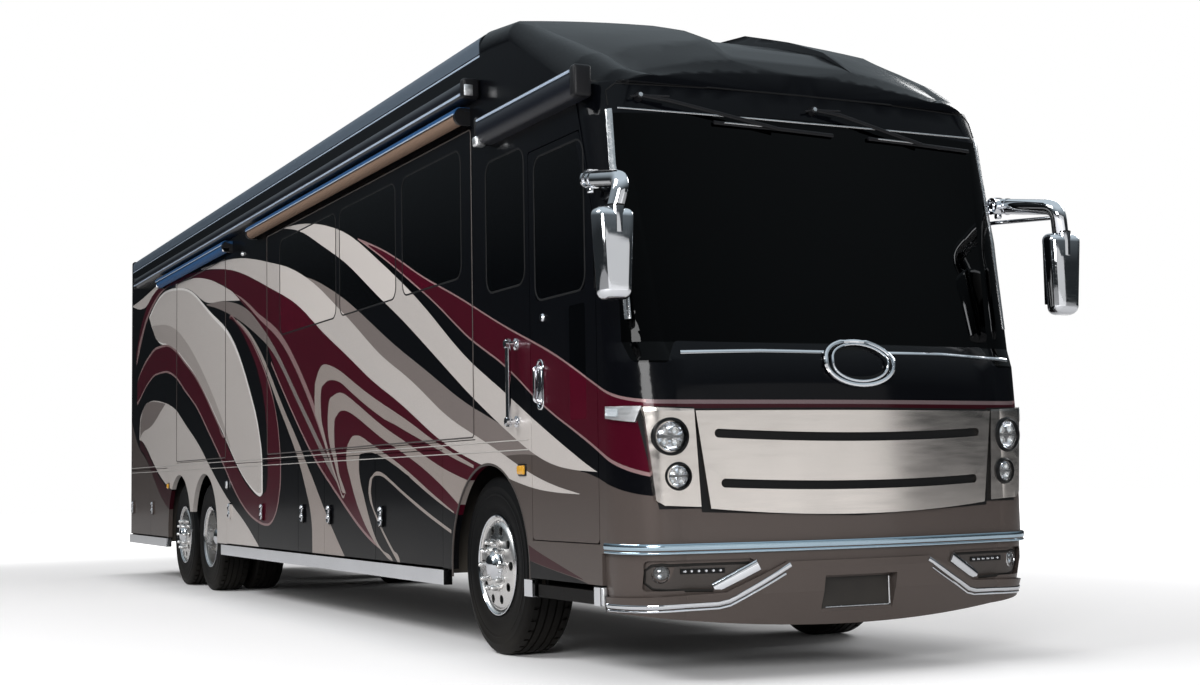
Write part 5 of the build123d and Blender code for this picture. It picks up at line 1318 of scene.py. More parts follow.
print("mirrors done")
# %% [markdown]
# ## Awnings
# Awning cases hang high on the side and over the door, and a roll of cloth lies over each slide.
# All of them stay on the body. A case is an extruded gutter shape with a cap at each end. The roll
# is a tube of cloth under a small hood. They have one section over their whole length, so the
# light runs along them in long lines as it does on the real ones.

# %% Awning parts
AWNINGS = [
    # side, rear and front station, low and high edge, reach, with a cloth roll or not
    (-1, -10.9, -0.02, 3.39, 3.515, 0.11, False),
    (-1, -5.5, -0.19, 3.255, 3.365, 0.105, True),
    (-1, -9.6, -6.4, 3.255, 3.365, 0.105, True),
    (-1, 0.12, 1.58, 3.06, 3.235, 0.105, False),
    (1, -9.6, -0.19, 3.255, 3.365, 0.105, True),
]


def add_profile(shape, section, rear, front, side):
    """Draw a section of (reach, height) points out along the vehicle and close its ends."""
    rim = [shape.verts.new((rear, side * (HALF_WIDTH + reach), height)) for reach, height in section]
    face = shape.faces.new(rim)
    grown = bmesh.ops.extrude_face_region(shape, geom=[face])["geom"]
    moved = [item for item in grown if isinstance(item, bmesh.types.BMVert)]
    bmesh.ops.translate(shape, verts=moved, vec=(front - rear, 0, 0))


def bow(low, high, reach, count=10):
    """A bulged section that stands off the wall between two heights."""
    middle, half = (low + high) / 2, (high - low) / 2
    turns = [math.pi * (step / count - 0.5) for step in range(count + 1)]
    bulge = [(reach * (0.55 + 0.45 * math.cos(turn)), middle + half * math.sin(turn)) for turn in turns]
    return [(0.0, low)] + bulge + [(0.0, high)]


cases, caps, hoods, lines = (bmesh.new() for _ in range(4))
rolls = {"tan": bmesh.new(), "blue": bmesh.new()}
for side, rear, front, low, high, reach, cloth in AWNINGS:
    x0, x1 = station(rear), station(front)
    if cloth:
        centre = (low + high) / 2 - 0.008
        add_lathe(
            rolls["blue" if front < -6 else "tan"],
            [
                (0.0, 0.03), (0.036, 0.03), (0.043, 0.034), (0.043, x1 - x0 - 0.034),
                (0.036, x1 - x0 - 0.03), (0.0, x1 - x0 - 0.03),
            ],
            (x0, side * (HALF_WIDTH + reach - 0.05), centre), (1, 0, 0), 32,
        )
        add_profile(
            hoods,
            [
                (0.0, high - 0.03), (0.0, high), (reach * 0.75, high), (reach, high - 0.022),
                (reach, high - 0.044), (reach * 0.7, high - 0.014),
            ],
            x0, x1, side,
        )
        edge = side * (HALF_WIDTH + reach)
        add_sweep(
            lines, [(x0 + 0.02, edge, high - 0.042), (x1 - 0.02, edge, high - 0.042)], (0, side, 0), 0.005,
            0.003, 8,
        )
        for place in (x0, x1 - 0.03):
            add_profile(caps, bow(low, high - 0.002, reach), place, place + 0.03, side)
    else:
        add_profile(cases, bow(low + 0.006, high, reach), x0 + 0.04, x1 - 0.06, side)
        add_profile(
            cases,
            [
                (0.0, high - 0.02), (0.0, high + 0.004), (reach * 0.6, high + 0.004),
                (reach * 0.72, high - 0.012), (reach * 0.6, high - 0.02),
            ],
            x0 + 0.04, x1 - 0.06, side,
        )
        for place, wide in ((x0, 0.045), (x1 - 0.07, 0.07)):
            add_fitting(caps, side, (place, place + wide), (low, high), reach, 0.018, 3)
        lay, level = side * (HALF_WIDTH + reach * 0.97), (low + 0.03 if rear < -1 else high - 0.03)
        add_sweep(lines, [(x0 + 0.05, lay, level), (x1 - 0.07, lay, level)], (0, side, 0), 0.008, 0.004, 8)
awning_cases = new_piece("awning_cases", cases, awning_metal)
new_piece("awning_caps", caps, black_plastic)
new_piece("awning_rolls_tan", rolls["tan"], awning_cloth)
new_piece("awning_rolls_blue", rolls["blue"], awning_blue)
new_piece("awning_hoods", hoods, awning_blue)
new_piece("awning_lines", lines, awning_edge)
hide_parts("awnings")

# %% Bright awning ends
ends = bmesh.new()
add_block(
    ends, (station(-0.022), -HALF_WIDTH - 0.108, 3.4), (station(-0.008), -HALF_WIDTH - 0.05, 3.47), 0.005
)
add_block(
    ends, (station(0.11), -HALF_WIDTH - 0.112, 3.052), (station(0.175), -HALF_WIDTH - 0.04, 3.115), 0.016, 3
)
for place in (-6.42, -9.58):
    x = station(place)
    add_block(ends, (x, -HALF_WIDTH - 0.1, 3.262), (x + 0.02, -HALF_WIDTH - 0.03, 3.3), 0.006)
new_piece("awning_bright_ends", ends, satin_block)

# %% Roof edge bands, a painted highlight
painted_highlight_bands, edges = bmesh.new(), bmesh.new()
roof_skin = skin_of("roof", "side_wall_right", "side_wall_left")
for side in (-1, 1):
    # Painted highlight: a pale blue-grey band along the top of each wall, where the roof's rounded edge
    # reflects the sky.
    corners = [(side, -11.48, 3.668), (side, -0.02, 3.668), (side, -0.02, 3.772), (side, -11.48, 3.772)]
    lay_sheet(painted_highlight_bands, roof_skin, corners, 0.004, 0.003, (40, 6), on_side)
    line = [(station(place), side * (HALF_WIDTH + 0.002), 3.655) for place in (-11.48, -0.02)]
    add_sweep(edges, line, (0, side, 0), 0.006, 0.004, 8)
new_piece("roof_edge_bands", painted_highlight_bands, roof_edge_painted_highlight)
new_piece("roof_edge_lines", edges, awning_edge)
dots = bmesh.new()
add_lathe(
    dots, [(0.0, 0.022), (0.014, 0.018), (0.02, 0.0)], (station(-6.0), -HALF_WIDTH, 3.19), (0, -1, 0), 24
)
new_piece("awning_stop", dots, satin_block)
print("awnings done")
# %% [markdown]
# ## Tyres
# A coach tyre is a ring with a ribbed tread. Four grooves run round it, the outer ribs are notched
# where they meet the shoulder, and thin raised rings stiffen the side. In the mould each of these
# is a step in one section, so the section is drawn once, with its grooves, and turned.

# %% Tyre section
TYRE_HALF = 0.152
EDGE = [
    (0.288, 0.120), (0.300, 0.133), (0.312, 0.139), (0.316, 0.1415), (0.324, 0.1415), (0.328, 0.1405),
    (0.360, 0.1475), (0.405, 0.1515), (0.416, 0.1505), (0.419, 0.152), (0.431, 0.152), (0.434, 0.150),
    (0.462, 0.148), (0.466, 0.1495), (0.474, 0.1490), (0.478, 0.1465), (0.500, 0.142), (0.518, 0.135),
    (0.529, 0.125), (0.534, 0.112), (0.535, 0.104), (0.535, 0.081), (0.522, 0.0785), (0.522, 0.0705),
    (0.535, 0.068), (0.535, 0.033), (0.522, 0.0305), (0.522, 0.0225), (0.535, 0.020),
]
SECTION = EDGE + [(radius, -along) for radius, along in reversed(EDGE)]
WHEELS = [("front", 1), ("drive", 2), ("tag", 1)]  # axle and number of tyres on each side
TWIN_STEP = 0.345


def tyre(shape, centre, side):
    """One tyre about its own middle, with notched shoulder ribs."""
    before = set(shape.faces)
    add_lathe(shape, SECTION, centre, (0, side, 0), 160)
    ribs = []
    for face in shape.faces:
        if face in before:
            continue
        middle = face.calc_center_median() - centre
        reach = abs(middle.y)
        if 0.085 < reach < 0.116 and math.hypot(middle.x, middle.z) > 0.532:
            turn = round(math.degrees(math.atan2(middle.z, middle.x)) / 2.25 - 0.5)
            if turn % 4 == 0:
                ribs.append(face)
    notches = bmesh.ops.extrude_discrete_faces(shape, faces=ribs)["faces"]
    for notch in notches:
        for corner in notch.verts:
            inwards = Vector((centre.x - corner.co.x, 0, centre.z - corner.co.z)).normalized()
            corner.co += inwards * 0.008


for axle, count in WHEELS:
    for name, side in SIDES.items():
        low, high = (Vector(corner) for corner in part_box(f"tyre_{axle}_{name}"))
        outer = max(abs(low.y), abs(high.y)) - TYRE_HALF
        shape = bmesh.new()
        for step in range(count):
            tyre(
                shape,
                Vector(((low.x + high.x) / 2, side * (outer - TWIN_STEP * step), (low.z + high.z) / 2)),
                side,
            )
        made = new_piece(f"tyre_ribbed_{axle}_{name}", shape, rubber, f"wheel_{axle}_{name}", 28)
        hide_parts(f"tyre_{axle}_{name}")
print("tyre section points:", len(SECTION))

# %% [markdown]
# ## Hubs and lug nuts
# The front and tag wheels turn their dish inwards, so a bright hub stands in the middle with ten
# long nut covers round it. The drive wheels are dished the other way and show a deep bowl with
# the axle's end in it. Hub caps and nut covers are turned parts, and a pattern of ten repeats one.

# %% Wheel face
PATTERN = 10  # nuts and hand holes
HOLE_RING, NUT_RING = 0.214, 0.1425
HUB_OUT = 1.085  # the plane that hub and face sections are measured from


def ring_of(count, radius, centre):
    """Places of a pattern round a wheel's centre."""
    for step in range(count):
        turn = math.tau * step / count
        yield centre + Vector((math.cos(turn) * radius, 0, math.sin(turn) * radius))


def drilled(piece, centre, side):
    """Cut the ten hand holes through a wheel's face."""
    drill = bmesh.new()
    for place in ring_of(PATTERN, HOLE_RING, centre):
        add_lathe(drill, [(0.0, 0.05), (0.027, 0.05), (0.027, 0.25), (0.0, 0.25)], place, (0, side, 0), 20)
    bmesh.ops.recalc_face_normals(drill, faces=drill.faces)
    mesh = bpy.data.meshes.new("drill")
    drill.to_mesh(mesh)
    drill.free()
    tool = bpy.data.objects.new("drill", mesh)
    bpy.context.collection.objects.link(tool)
    cut = piece.modifiers.new("hand_holes", "BOOLEAN")
    cut.object, cut.operation = tool, "DIFFERENCE"
    bpy.context.view_layer.update()
    shaped = bpy.data.meshes.new_from_object(piece.evaluated_get(bpy.context.evaluated_depsgraph_get()))
    piece.modifiers.clear()
    piece.data = shaped
    shaped.set_sharp_from_angle(angle=math.radians(30))
    bpy.data.objects.remove(tool)


FACE = [
    (0.275, 0.128), (0.262, 0.128), (0.25, 0.139), (0.236, 0.144), (0.19, 0.146), (0.172, 0.153),
    (0.118, 0.155), (0.1, 0.155), (0.1, 0.147), (0.168, 0.145), (0.186, 0.138), (0.236, 0.136),
    (0.262, 0.118), (0.275, 0.118), (0.275, 0.128),
]

# %% Hubs and lug nuts
for axle, count in WHEELS:
    for name, side in SIDES.items():
        body = f"wheel_{axle}_{name}"
        low, high = (Vector(corner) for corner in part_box(f"rim_{axle}_{name}"))
        middle = Vector(((low.x + high.x) / 2, side * HUB_OUT, (low.z + high.z) / 2))
        way = (0, side, 0)
        hub, nuts, rings = bmesh.new(), bmesh.new(), bmesh.new()
        if axle == "drive":
            cap = [
                (0.0, 0.112), (0.05, 0.108), (0.075, 0.095), (0.088, 0.06), (0.09, -0.05), (0.118, -0.058),
            ]
            base, length = -0.062, 0.062
        else:
            cap = [
                (0.0, 0.206), (0.03, 0.204), (0.058, 0.196), (0.066, 0.184), (0.08, 0.178), (0.089, 0.168),
                (0.092, 0.16), (0.104, 0.156),
            ]
            base, length = 0.153, 0.056
            face = bmesh.new()
            add_lathe(face, FACE, middle, way, 80)
            drilled(new_piece(f"wheel_face_{axle}_{name}", face, polished, body), middle, side)
            # Painted shade: a black disc behind the drilled face makes the hand holes read dark.
            add_lathe(rings, [(0.0, 0.086), (0.255, 0.085)], middle, way, 32)
            new_piece(f"wheel_painted_shade_{axle}_{name}", rings, lamp_black, body)
            rings = bmesh.new()
        add_lathe(hub, cap, middle, way, 48)
        for place in ring_of(PATTERN, NUT_RING, middle):
            add_lathe(
                nuts,
                [
                    (0.0225, base), (0.022, base + 0.006), (0.0165, base + 0.009),
                    (0.0155, base + length * 0.78), (0.011, base + length * 0.95), (0.0, base + length),
                ],
                place, way, 16,
            )
        add_lathe(
            rings, [(0.290, 0.142), (0.2965, 0.1475), (0.3015, 0.146), (0.3025, 0.139)], middle, way, 96
        )
        add_sweep(
            nuts, [middle + Vector((0.0, side * 0.09, 0.272)), middle + Vector((0.0, side * 0.152, 0.256))],
            (1, 0, 0), 0.004, 0.004, 8,
        )
        new_piece(f"hub_{axle}_{name}", hub, chrome, body)
        new_piece(f"lug_nuts_{axle}_{name}", nuts, polished, body)
        new_piece(f"rim_edge_{axle}_{name}", rings, chrome, body)
print("wheels done")
# %% [markdown]
# ## Trim along the sides
# The flat sides get their life from small fittings: rounded rubber frames round the windows, a belt
# line, bright paddle latches on the bay doors, a long grab rail beside the entry door, and small
# amber lamps. What sits on a door rides with that door. Frames and rails are swept bars, and the
# small fittings are rounded blocks and turned parts.

# %% Window frames


def frame_bar(shape, side, rear, front, low, high, radius, width, thick, lift=0.0):
    """A bar round a rectangle with rounded corners, lying on one side of the coach."""
    corners = []
    for across, up, turn in ((front, high, 0), (rear, high, 90), (rear, low, 180), (front, low, 270)):
        middle = (
            across + (-radius if across == front else radius), up + (-radius if up == high else radius)
        )
        for step in range(7):
            angle = math.radians(turn + 15 * step)
            corners.append(
                (station(middle[0] + radius * math.cos(angle)), middle[1] + radius * math.sin(angle))
            )
    route = [(x, side * (HALF_WIDTH + lift), z) for x, z in corners + corners[:1]]
    add_sweep(shape, route, (0, side, 0), width, thick, 8)


CAB_WINDOW, ROOM_WINDOW, DOOR_WINDOW = (2.17, 2.97), (2.32, 3.14), (2.05, 2.87)  # sill and head
WINDOWS = [
    # body it rides, side, sill and head, and the rear and front station of each window
    (BODY, -1, CAB_WINDOW, [(0.05, 0.64)]),
    (BODY, 1, CAB_WINDOW, [(0.15, 1.29)]),
    ("slide_front_right", -1, ROOM_WINDOW, [(-4.7, -3.06), (-2.96, -1.64), (-1.5, -0.37)]),
    ("slide_left", 1, ROOM_WINDOW, [(-4.7, -3.06), (-2.96, -1.64), (-1.5, -0.37), (-7.5, -6.1)]),
    ("entry_door", -1, DOOR_WINDOW, [(0.785, 1.45)]),
]
frames = {}
for rider, side, (low, high), places in WINDOWS:
    shape = frames.setdefault(rider, bmesh.new())
    for rear, front in places:
        frame_bar(shape, side, rear, front, low, high, 0.09, 0.006, 0.004)
for rider, shape in frames.items():
    new_piece(f"window_frames_{rider}", shape, seal, rider)

# %% [markdown]
# ## Slide edges
# Each slide room ends in a flange that closes on a rubber seal round its opening, so a dark line
# frames the whole room. It moves with the slide.

# %% Slide flanges
FLANGE = (1.31, 3.23)  # low and high edge
for node in ("slide_front_right", "slide_rear_right", "slide_left"):
    low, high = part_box(node)
    side = -1 if "right" in node else 1
    shape = bmesh.new()
    rear, front = low[0] - AXLE_X + 0.012, high[0] - AXLE_X - 0.012
    frame_bar(shape, side, rear, front, *FLANGE, 0.03, 0.005, 0.004)
    new_piece(f"flange_{node}", shape, belt_trim, node)

# %% Door fittings
GRAB_RAIL = (0.5, 1.35, 1.86)  # station, foot and head
RAIL_FOOT = [
    (0.036, 0.0), (0.034, 0.01), (0.018, 0.018), (0.018, 0.05), (0.024, 0.056), (0.024, 0.075),
    (0.0, 0.079),
]
handles, rails, locks = (bmesh.new() for _ in range(3))
wall = -HALF_WIDTH
add_sweep(
    handles,
    round_route(
        [
            (station(0.84), wall, 1.475), (station(0.84), wall - 0.035, 1.485),
            (station(0.84), wall - 0.035, 1.665), (station(0.84), wall, 1.675),
        ],
        0.012, 4,
    ),
    (1, 0, 0), 0.012, 0.008, 12,
)
frame_bar(handles, -1, 0.8, 0.88, 1.44, 1.71, 0.038, 0.009, 0.006, 0.002)
add_block(handles, (station(0.81), wall - 0.006, 1.47), (station(0.87), wall + 0.004, 1.68), 0.005)
add_lathe(locks, [(0.0, 0.012), (0.018, 0.011), (0.024, 0.0)], (station(0.88), wall, 1.95), (0, -1, 0), 24)
new_piece("door_handle", handles, chrome, "entry_door")
new_piece("door_lock", locks, chrome, "entry_door")
low, high = GRAB_RAIL[1:]
x, out = station(GRAB_RAIL[0]), wall - 0.055
add_sweep(rails, [(x, out, low), (x, out, (low + high) / 2), (x, out, high)], (1, 0, 0), 0.016, 0.016, 16)
for height in (low + 0.03, high - 0.03):
    add_lathe(rails, RAIL_FOOT, (x, wall, height), (0, -1, 0), 24)
new_piece("grab_rail", rails, chrome)

# %% Lamps on the walls
SIDE_LAMPS = {
    # station, height, half width, half height and lens
    "front": (0.57, 1.1, 0.055, 0.035, amber_lens),
    "middle": (-6.6, 1.05, 0.03, 0.045, satin_block),
    "rear": (-9.34, 1.05, 0.045, 0.035, amber_lens),
}
LAMP_RIDERS = {"right_middle": "bay_door_right_5", "left_middle": "bay_door_left_4"}
for name, side in SIDES.items():
    for place, (ahead, height, wide, high, lens) in SIDE_LAMPS.items():
        bases, lenses = bmesh.new(), bmesh.new()
        x = station(ahead)
        add_fitting(bases, side, (x - wide, x + wide), (height - high, height + high), 0.008, 0.004)
        along = (x - wide * 0.85, x + wide * 0.85)
        add_fitting(lenses, side, along, (height - high * 0.75, height + high * 0.75), 0.022, 0.009, 3)
        rider = LAMP_RIDERS.get(f"{name}_{place}", BODY)
        new_piece(f"side_lamp_base_{name}_{place}", bases, lamp_black, rider)
        new_piece(f"side_lamp_lens_{name}_{place}", lenses, lens, rider)

# %% [markdown]
# ## Bay latches and the belt line
# Each bay door opens with a paddle latch of two lobes. The latch sits near the door's rear edge,
# where the hand finds it. The belt line is a pair of thin beads between the bays and the slides.

# %% Bay latches
for name in sorted(nodes):
    if not name.startswith("bay_door"):
        continue
    side = -1 if "right" in name else 1
    low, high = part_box(name)
    shape = bmesh.new()
    x, y = low[0] + 0.15, side * HALF_WIDTH
    for height in (0.772, 0.842):
        add_lathe(
            shape, [(0.034, 0.008), (0.033, 0.02), (0.027, 0.026), (0.018, 0.022), (0.0, 0.021)],
            (x, y, height), (0, side, 0), 28,
        )
    add_fitting(shape, side, (x - 0.015, x + 0.015), (0.775, 0.84), 0.024, 0.005)
    new_piece(f"latch_{name}", shape, chrome, name)

# %% Belt bead and arch lips
FRONT_ARCH = (0.03, 0.52, 0.622)  # station and height of its middle, and its radius
BELT_ENDS, BELT_HEIGHTS = (-11.5, 0.66), (1.272, 1.215)
belts = bmesh.new()
for side in (-1, 1):
    for height in BELT_HEIGHTS:
        route = [(station(ahead), side * (HALF_WIDTH + 0.001), height) for ahead in BELT_ENDS]
        add_sweep(belts, route, (0, side, 0), 0.0038, 0.004, 8)
new_piece("belt_bead", belts, belt_line)
lips = bmesh.new()
ahead, height, radius = FRONT_ARCH
turns = [math.radians(-7 + (180 + 14) * step / 40) for step in range(41)]
for side in (-1, 1):
    route = [
        (
            station(ahead + radius * math.cos(turn)), side * (HALF_WIDTH - 0.004),
            height + radius * math.sin(turn),
        )
        for turn in turns
    ]
    add_sweep(lips, route, (0, side, 0), 0.009, 0.006, 8)
new_piece("arch_lips", lips, belt_trim)
print("sides done")
# %% [markdown]
# ## The back
# The back carries upright tail lamps, a slatted engine lid and a blank plate. A tail lamp is a
# stack of round lenses on one dark plate. The slats let the engine's heat out, so they slope
# downwards to keep the rain out. Slats could be painted on, but the lid opens and is seen
# closely.

# %% Tail lamps
plates, reds, whites, ambers, rims = (bmesh.new() for _ in range(5))
low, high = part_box("tail_lamps")
back = low[0]
for side in (-1, 1):
    across = side * (abs(low[1]) - 0.065)
    add_block(plates, (back + 0.001, across - 0.065, 1.39), (back + 0.016, across + 0.065, 1.91), 0.006)
    for height, shape in ((1.835, reds), (1.72, reds), (1.605, ambers), (1.49, whites)):
        add_lathe(
            shape, [(0.046, 0.004), (0.044, 0.008), (0.03, 0.012), (0.0, 0.014)],
            (back + 0.006, across, height), (-1, 0, 0), 36,
        )
        add_lathe(
            rims, [(0.045, 0.002), (0.047, 0.008), (0.052, 0.007), (0.055, 0.0)],
            (back + 0.006, across, height), (-1, 0, 0), 36,
        )
tail_plates = new_piece("tail_lamp_plates", plates, lamp_black)
new_piece("tail_lamp_reds", reds, red_lens)
new_piece("tail_lamp_whites", whites, clear_lens)
new_piece("tail_lamp_ambers", ambers, amber_lens)
new_piece("tail_lamp_rims", rims, chrome)
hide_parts("tail_lamps")

# %% Engine lid fittings
low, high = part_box("engine_lid")
slats, grip, blank = bmesh.new(), bmesh.new(), bmesh.new()
face = low[0]
add_block(grip, (face - 0.008, -0.62, 1.12), (face + 0.004, 0.62, 1.6), 0.004)
for step in range(11):
    height = 1.15 + 0.04 * step
    turn = Matrix.Rotation(math.radians(-35), 4, "Y")
    place = Matrix.Translation((face - 0.012, 0, height)) @ turn @ Matrix.Diagonal((0.03, 1.2, 0.004, 1.0))
    bmesh.ops.create_cube(slats, size=1.0, matrix=place)
add_block(blank, (face - 0.01, -0.155, 0.84), (face - 0.002, 0.155, 1.0), 0.003)
new_piece("lid_slats", slats, black_plastic, "engine_lid")
new_piece("lid_screen", grip, lamp_black, "engine_lid")
new_piece("lid_blank_plate", blank, stainless, "engine_lid")
shape = bmesh.new()
for across in (-0.6, 0.6):
    add_sweep(
        shape,
        round_route(
            [
                (face, across - 0.06, 0.84), (face - 0.02, across - 0.06, 0.84),
                (face - 0.02, across + 0.06, 0.84), (face, across + 0.06, 0.84),
            ],
            0.015, 4,
        ),
        (0, 0, 1), 0.007, 0.007, 12,
    )
new_piece("lid_handles", shape, chrome, "engine_lid")

# %% Rear bumper bead and upper marker lamps
shape, lenses = bmesh.new(), bmesh.new()
low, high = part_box("rear_cap")
for across in (-0.3, 0.0, 0.3, -0.95, 0.95):
    add_block(lenses, (low[0] - 0.014, across - 0.05, 3.56), (low[0] + 0.004, across + 0.05, 3.59), 0.006)
add_sweep(shape, [(low[0] - 0.001, -1.2, 0.735), (low[0] - 0.001, 1.2, 0.735)], (-1, 0, 0), 0.012, 0.006, 8)
new_piece("rear_bead", shape, stainless)
new_piece("rear_markers", lenses, red_lens)

# %% [markdown]
# ## Roof gear
# Three air conditioners stand on the roof. Each is a streamlined plastic shell over a fan, with
# slots at its back. A block that is drawn in at its top and rounded gives the shell.

# %% Roof units
low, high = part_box("roof_units")
shells, slots = bmesh.new(), bmesh.new()
for ahead in (-2.2, -5.6, -9.0):
    x, top, foot = station(ahead), high[2], low[2] - 0.03
    made = bmesh.ops.create_cube(
        shells, size=1.0, matrix=Matrix.Translation((x, 0, (top + foot) / 2)) @ Matrix.Diagonal(
            (0.76, 0.66, top - foot, 1.0)
        )
    )
    for corner in made["verts"]:
        if corner.co.z > (top + foot) / 2:
            corner.co.y *= 0.8
            corner.co.x = x + (corner.co.x - x) * (0.7 if corner.co.x > x else 0.93)
    round_edges(shells, made["verts"], 0.05, 5)
    for step in range(5):
        height = foot + 0.07 + 0.022 * step
        add_block(slots, (x - 0.378, -0.2, height), (x - 0.362, 0.2, height + 0.009), 0.002)
    add_lathe(
        slots, [(0.0, 0.003), (0.1, 0.003), (0.12, 0.0), (0.14, -0.004)], (x - 0.12, 0, top - 0.0045),
        (0, 0, 1), 40,
    )
units = new_piece("air_conditioners", shells, roof_plastic)
new_piece("air_conditioner_slots", slots, lamp_black)
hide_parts("roof_units")
gear = bmesh.new()
roof_skin = skin_of("roof", "front_cap")
for ahead, across in ((-3.9, 0.55), (-7.3, 0.55), (-10.6, 0.0)):
    spot = roof_skin.ray_cast(Vector((station(ahead), across, 6)), Vector((0, 0, -1)))[0]
    add_block(gear, spot - Vector((0.2, 0.2, 0.02)), spot + Vector((0.2, 0.2, 0.06)), 0.02, 3)
new_piece("roof_vents", gear, roof_plastic)
print("back and roof done")
# %% [markdown]
# ## Inside the cab
# Two chairs and the wheel stand behind the windshield. A chair has a padded cushion, back and
# headrest on a plain pedestal with two arms. Its cover is leather over foam, so each pad is blown
# up in a cloth simulation and then keeps that shape: the sides pull in between the corners, as
# they do on the real one.

# %% Chair pads
PILLOW_STEPS = 20
PILLOW_PRESSURE = 4.0
PILLOW_VOXEL = 0.015
PILLOW_SWELL = 0.025  # how far a point may move


def pad(name, low, high, edge):
    """A padded cushion: a rounded block, remeshed and blown up as cloth."""
    shape = bmesh.new()
    add_block(shape, low, high, edge, 4)
    made = new_piece(name, shape, leather, sharp=60)
    grid = made.modifiers.new("even_mesh", "REMESH")
    grid.mode, grid.voxel_size = "VOXEL", PILLOW_VOXEL
    cloth = made.modifiers.new("blown_up", "CLOTH")
    settings = cloth.settings
    settings.quality, settings.mass = 6, 0.4
    settings.tension_stiffness = settings.compression_stiffness = 40
    settings.shear_stiffness, settings.bending_stiffness = 20, 2
    settings.use_pressure, settings.uniform_pressure_force = True, PILLOW_PRESSURE
    settings.effector_weights.gravity = 0.0
    for step in range(1, PILLOW_STEPS + 1):
        bpy.context.scene.frame_set(step)
    blown = bpy.data.meshes.new_from_object(made.evaluated_get(bpy.context.evaluated_depsgraph_get()))
    before = [corner.co.copy() for corner in evened(made).vertices]
    for corner, start in zip(blown.vertices, before):
        step = corner.co - start
        if step.length > PILLOW_SWELL:
            corner.co = start + step.normalized() * PILLOW_SWELL
    made.modifiers.clear()
    made.data = blown
    blown.shade_smooth()
    softer = made.modifiers.new("softer", "SUBSURF")
    softer.levels = softer.render_levels = 1
    finish(made, leather)
    bpy.context.scene.frame_set(1)


def evened(piece):
    """The piece's mesh after its remesh alone."""
    cloth = piece.modifiers.get("blown_up")
    if cloth:
        cloth.show_viewport = False
    bpy.context.view_layer.update()
    mesh = bpy.data.meshes.new_from_object(piece.evaluated_get(bpy.context.evaluated_depsgraph_get()))
    if cloth:
        cloth.show_viewport = True
    return mesh


CHAIRS = {"left": (0.56, 0.62), "right": (0.72, -0.62)}  # station of the front edge, place across
CHAIR_PADS = {
    # low corner, high corner and edge radius, from the floor under the front edge
    "cushion": ((-0.48, -0.24, 0.34), (-0.01, 0.24, 0.47), 0.045),
    "back": ((-0.59, -0.23, 0.45), (-0.49, 0.23, 1.0), 0.04),
    "headrest": ((-0.585, -0.13, 1.0), (-0.5, 0.13, 1.17), 0.035),
}
FLOOR_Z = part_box("cab_seats")[0][2]
stands = bmesh.new()
for name, (front, across) in CHAIRS.items():
    x = station(front)
    for part, (low, high, edge) in CHAIR_PADS.items():
        corners = [[a + b for a, b in zip((x, across, FLOOR_Z), corner)] for corner in (low, high)]
        pad(f"chair_{part}_{name}", *corners, edge)
    add_block(
        stands, (x - 0.38, across - 0.13, FLOOR_Z), (x - 0.12, across + 0.13, FLOOR_Z + 0.33), 0.02, 3
    )
    add_block(
        stands, (x - 0.47, across - 0.22, FLOOR_Z + 0.31), (x - 0.03, across + 0.22, FLOOR_Z + 0.345), 0.01
    )
    for arm in (-1, 1):
        y = across + arm * 0.255
        add_block(
            stands, (x - 0.46, y - 0.014, FLOOR_Z + 0.32), (x - 0.42, y + 0.014, FLOOR_Z + 0.62), 0.006
        )
        add_block(
            stands, (x - 0.47, y - 0.014, FLOOR_Z + 0.6), (x - 0.12, y + 0.014, FLOOR_Z + 0.65), 0.012, 3
        )
chair_stands = new_piece("chair_stands", stands, black_plastic)
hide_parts("cab_seats")
print("cab done")
# %% [markdown]
# ## Stage and light
# A studio for vehicles is a white floor and large soft boxes. The floor takes the vehicle's
# shadow and otherwise melts into the background. Its glow is taken away in a box round the
# vehicle's footprint, which paints a dark shadow under it. The background is full white where
# it is looked at, a sky that brightens upwards in reflections, and a dim even light for all the
# rest, so that the lamps do most to shape the paint.

# %% Floor
floor_mesh = bpy.data.meshes.new("studio_floor")
sheet = bmesh.new()
bmesh.ops.create_grid(sheet, x_segments=1, y_segments=1, size=60)
sheet.to_mesh(floor_mesh)
sheet.free()
floor = bpy.data.objects.new("studio_floor", floor_mesh)
bpy.context.collection.objects.link(floor)
floor_paint, tree, shader = start_material("Studio floor", (238, 238, 239), 0.9, Specular_IOR_Level=0.0)
rays = put(tree, "LightPath")
place = put(tree, "TexCoord")
far = put(tree, "VectorMath", {0: place.outputs["Object"]}, operation="LENGTH")
fade = put(
    tree, "MapRange",
    {"Value": far.outputs["Value"], "From Min": 9.0, "From Max": 17.0, "To Min": 0.2, "To Max": 1.2},
    interpolation_type="SMOOTHSTEP",
)
# Painted shadow: the floor's glow fades to nothing inside the vehicle's footprint, so the ground under it is
# dark.
corner = put(tree, "VectorMath", {0: place.outputs["Object"]}, operation="ABSOLUTE")
beyond = put(tree, "VectorMath", {0: corner.outputs[0], 1: (6.5, 1.15, 0)}, operation="SUBTRACT")
apart = put(tree, "VectorMath", {0: beyond.outputs[0], 1: (0, 0, 0)}, operation="MAXIMUM")
away = put(tree, "VectorMath", {0: apart.outputs[0]}, operation="LENGTH")
under = put(
    tree, "MapRange", {"Value": away.outputs["Value"], "From Max": 0.8}, interpolation_type="SMOOTHSTEP"
)
lit = put(tree, "Math", {0: rays.outputs["Is Camera Ray"], 1: under.outputs[0]}, operation="MULTIPLY")
glow = put(tree, "Math", {0: lit.outputs[0], 1: fade.outputs[0]}, operation="MULTIPLY")
shader.inputs["Emission Color"].default_value = (1, 1, 1, 1)
feed(tree, shader, Emission_Strength=glow.outputs[0])
finish(floor, floor_paint)

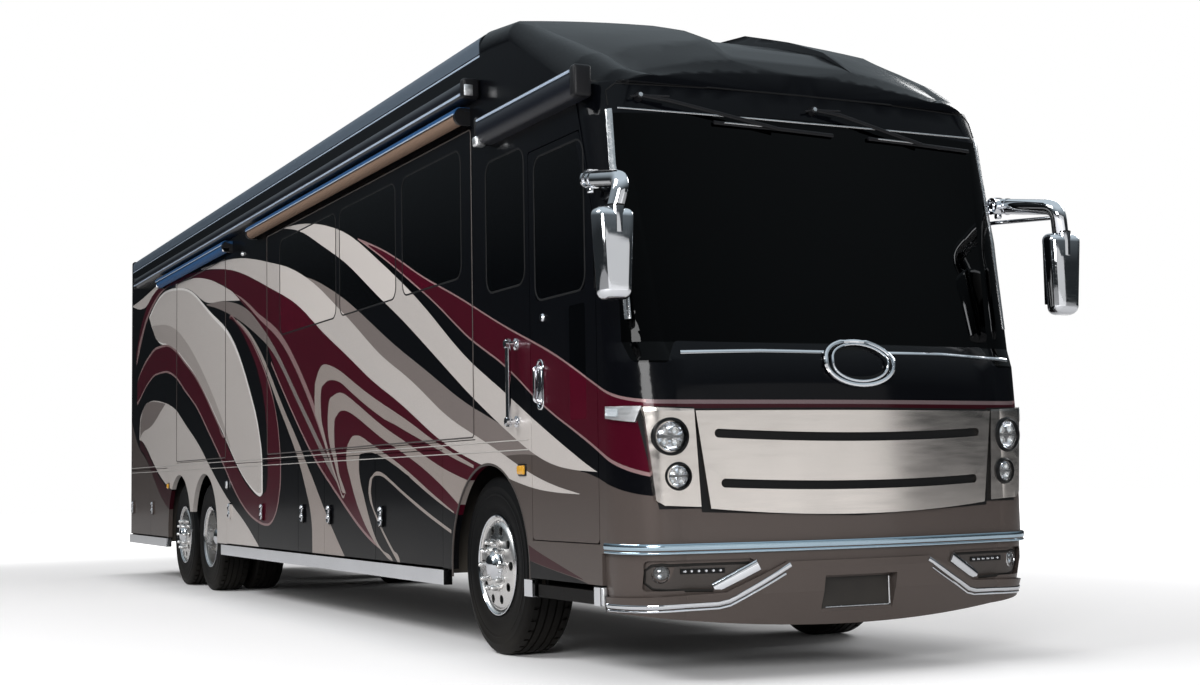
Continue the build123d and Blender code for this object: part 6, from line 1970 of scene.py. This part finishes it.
# %% World and lamps
world = bpy.data.worlds.new("studio")
bpy.context.scene.world = world
world.use_nodes = True
tree = world.node_tree
background = tree.nodes["Background"]
rays = put(tree, "LightPath")
seen = put(
    tree, "Math", {0: rays.outputs["Is Camera Ray"], 1: rays.outputs["Is Transmission Ray"]},
    operation="MAXIMUM",
)
way = put(tree, "TexCoord")
rise = put(tree, "SeparateXYZ", {0: way.outputs["Generated"]})
sky = put(
    tree, "MapRange",
    {"Value": rise.outputs[2], "From Min": 0.12, "From Max": 0.75, "To Min": 0.03, "To Max": 0.85},
)
shine = put(tree, "Math", {0: rays.outputs["Is Glossy Ray"], 1: sky.outputs[0]}, operation="MULTIPLY")
total = put(tree, "Math", {0: seen.outputs[0], 1: shine.outputs[0]}, operation="MAXIMUM")
rest = put(tree, "MapRange", {"Value": rays.outputs["Is Glossy Ray"], "To Min": 0.45, "To Max": 0.0})
level = put(tree, "Math", {0: total.outputs[0], 1: rest.outputs[0]}, operation="MAXIMUM")
tree.links.new(level.outputs[0], background.inputs["Strength"])
tint = blend_colour(tree, rays.outputs["Is Glossy Ray"], (1, 1, 1, 1), (0.8, 0.92, 1.0, 1))
tree.links.new(tint, background.inputs["Color"])


def soft_box(name, place, aim, size, watts):
    """A rectangular lamp at a place, turned towards its aim."""
    lamp = bpy.data.lights.new(name, "AREA")
    lamp.shape, lamp.size, lamp.size_y, lamp.energy = "RECTANGLE", size[0], size[1], watts
    holder = bpy.data.objects.new(name, lamp)
    bpy.context.collection.objects.link(holder)
    turn = (Vector(aim) - Vector(place)).to_track_quat("-Z", "Y").to_matrix().to_4x4()
    holder.matrix_world = Matrix.Translation(place) @ turn


soft_box("key_light", (station(-1), -13, 12), (station(-3), 0, 1.5), (12, 5), 1500)
soft_box("front_light", (station(12), -8, 5), (station(1.5), 0, 1.3), (5, 3), 1000)
soft_box("panel_light", (station(10), 2.2, 1.9), (station(1), 2.2, 1.5), (10, 3.4), 78)
soft_box("far_light", (station(-5), 13, 9), (station(-5), 0, 1.5), (12, 4), 900)
print("lamps:", [item.name for item in bpy.data.lights])
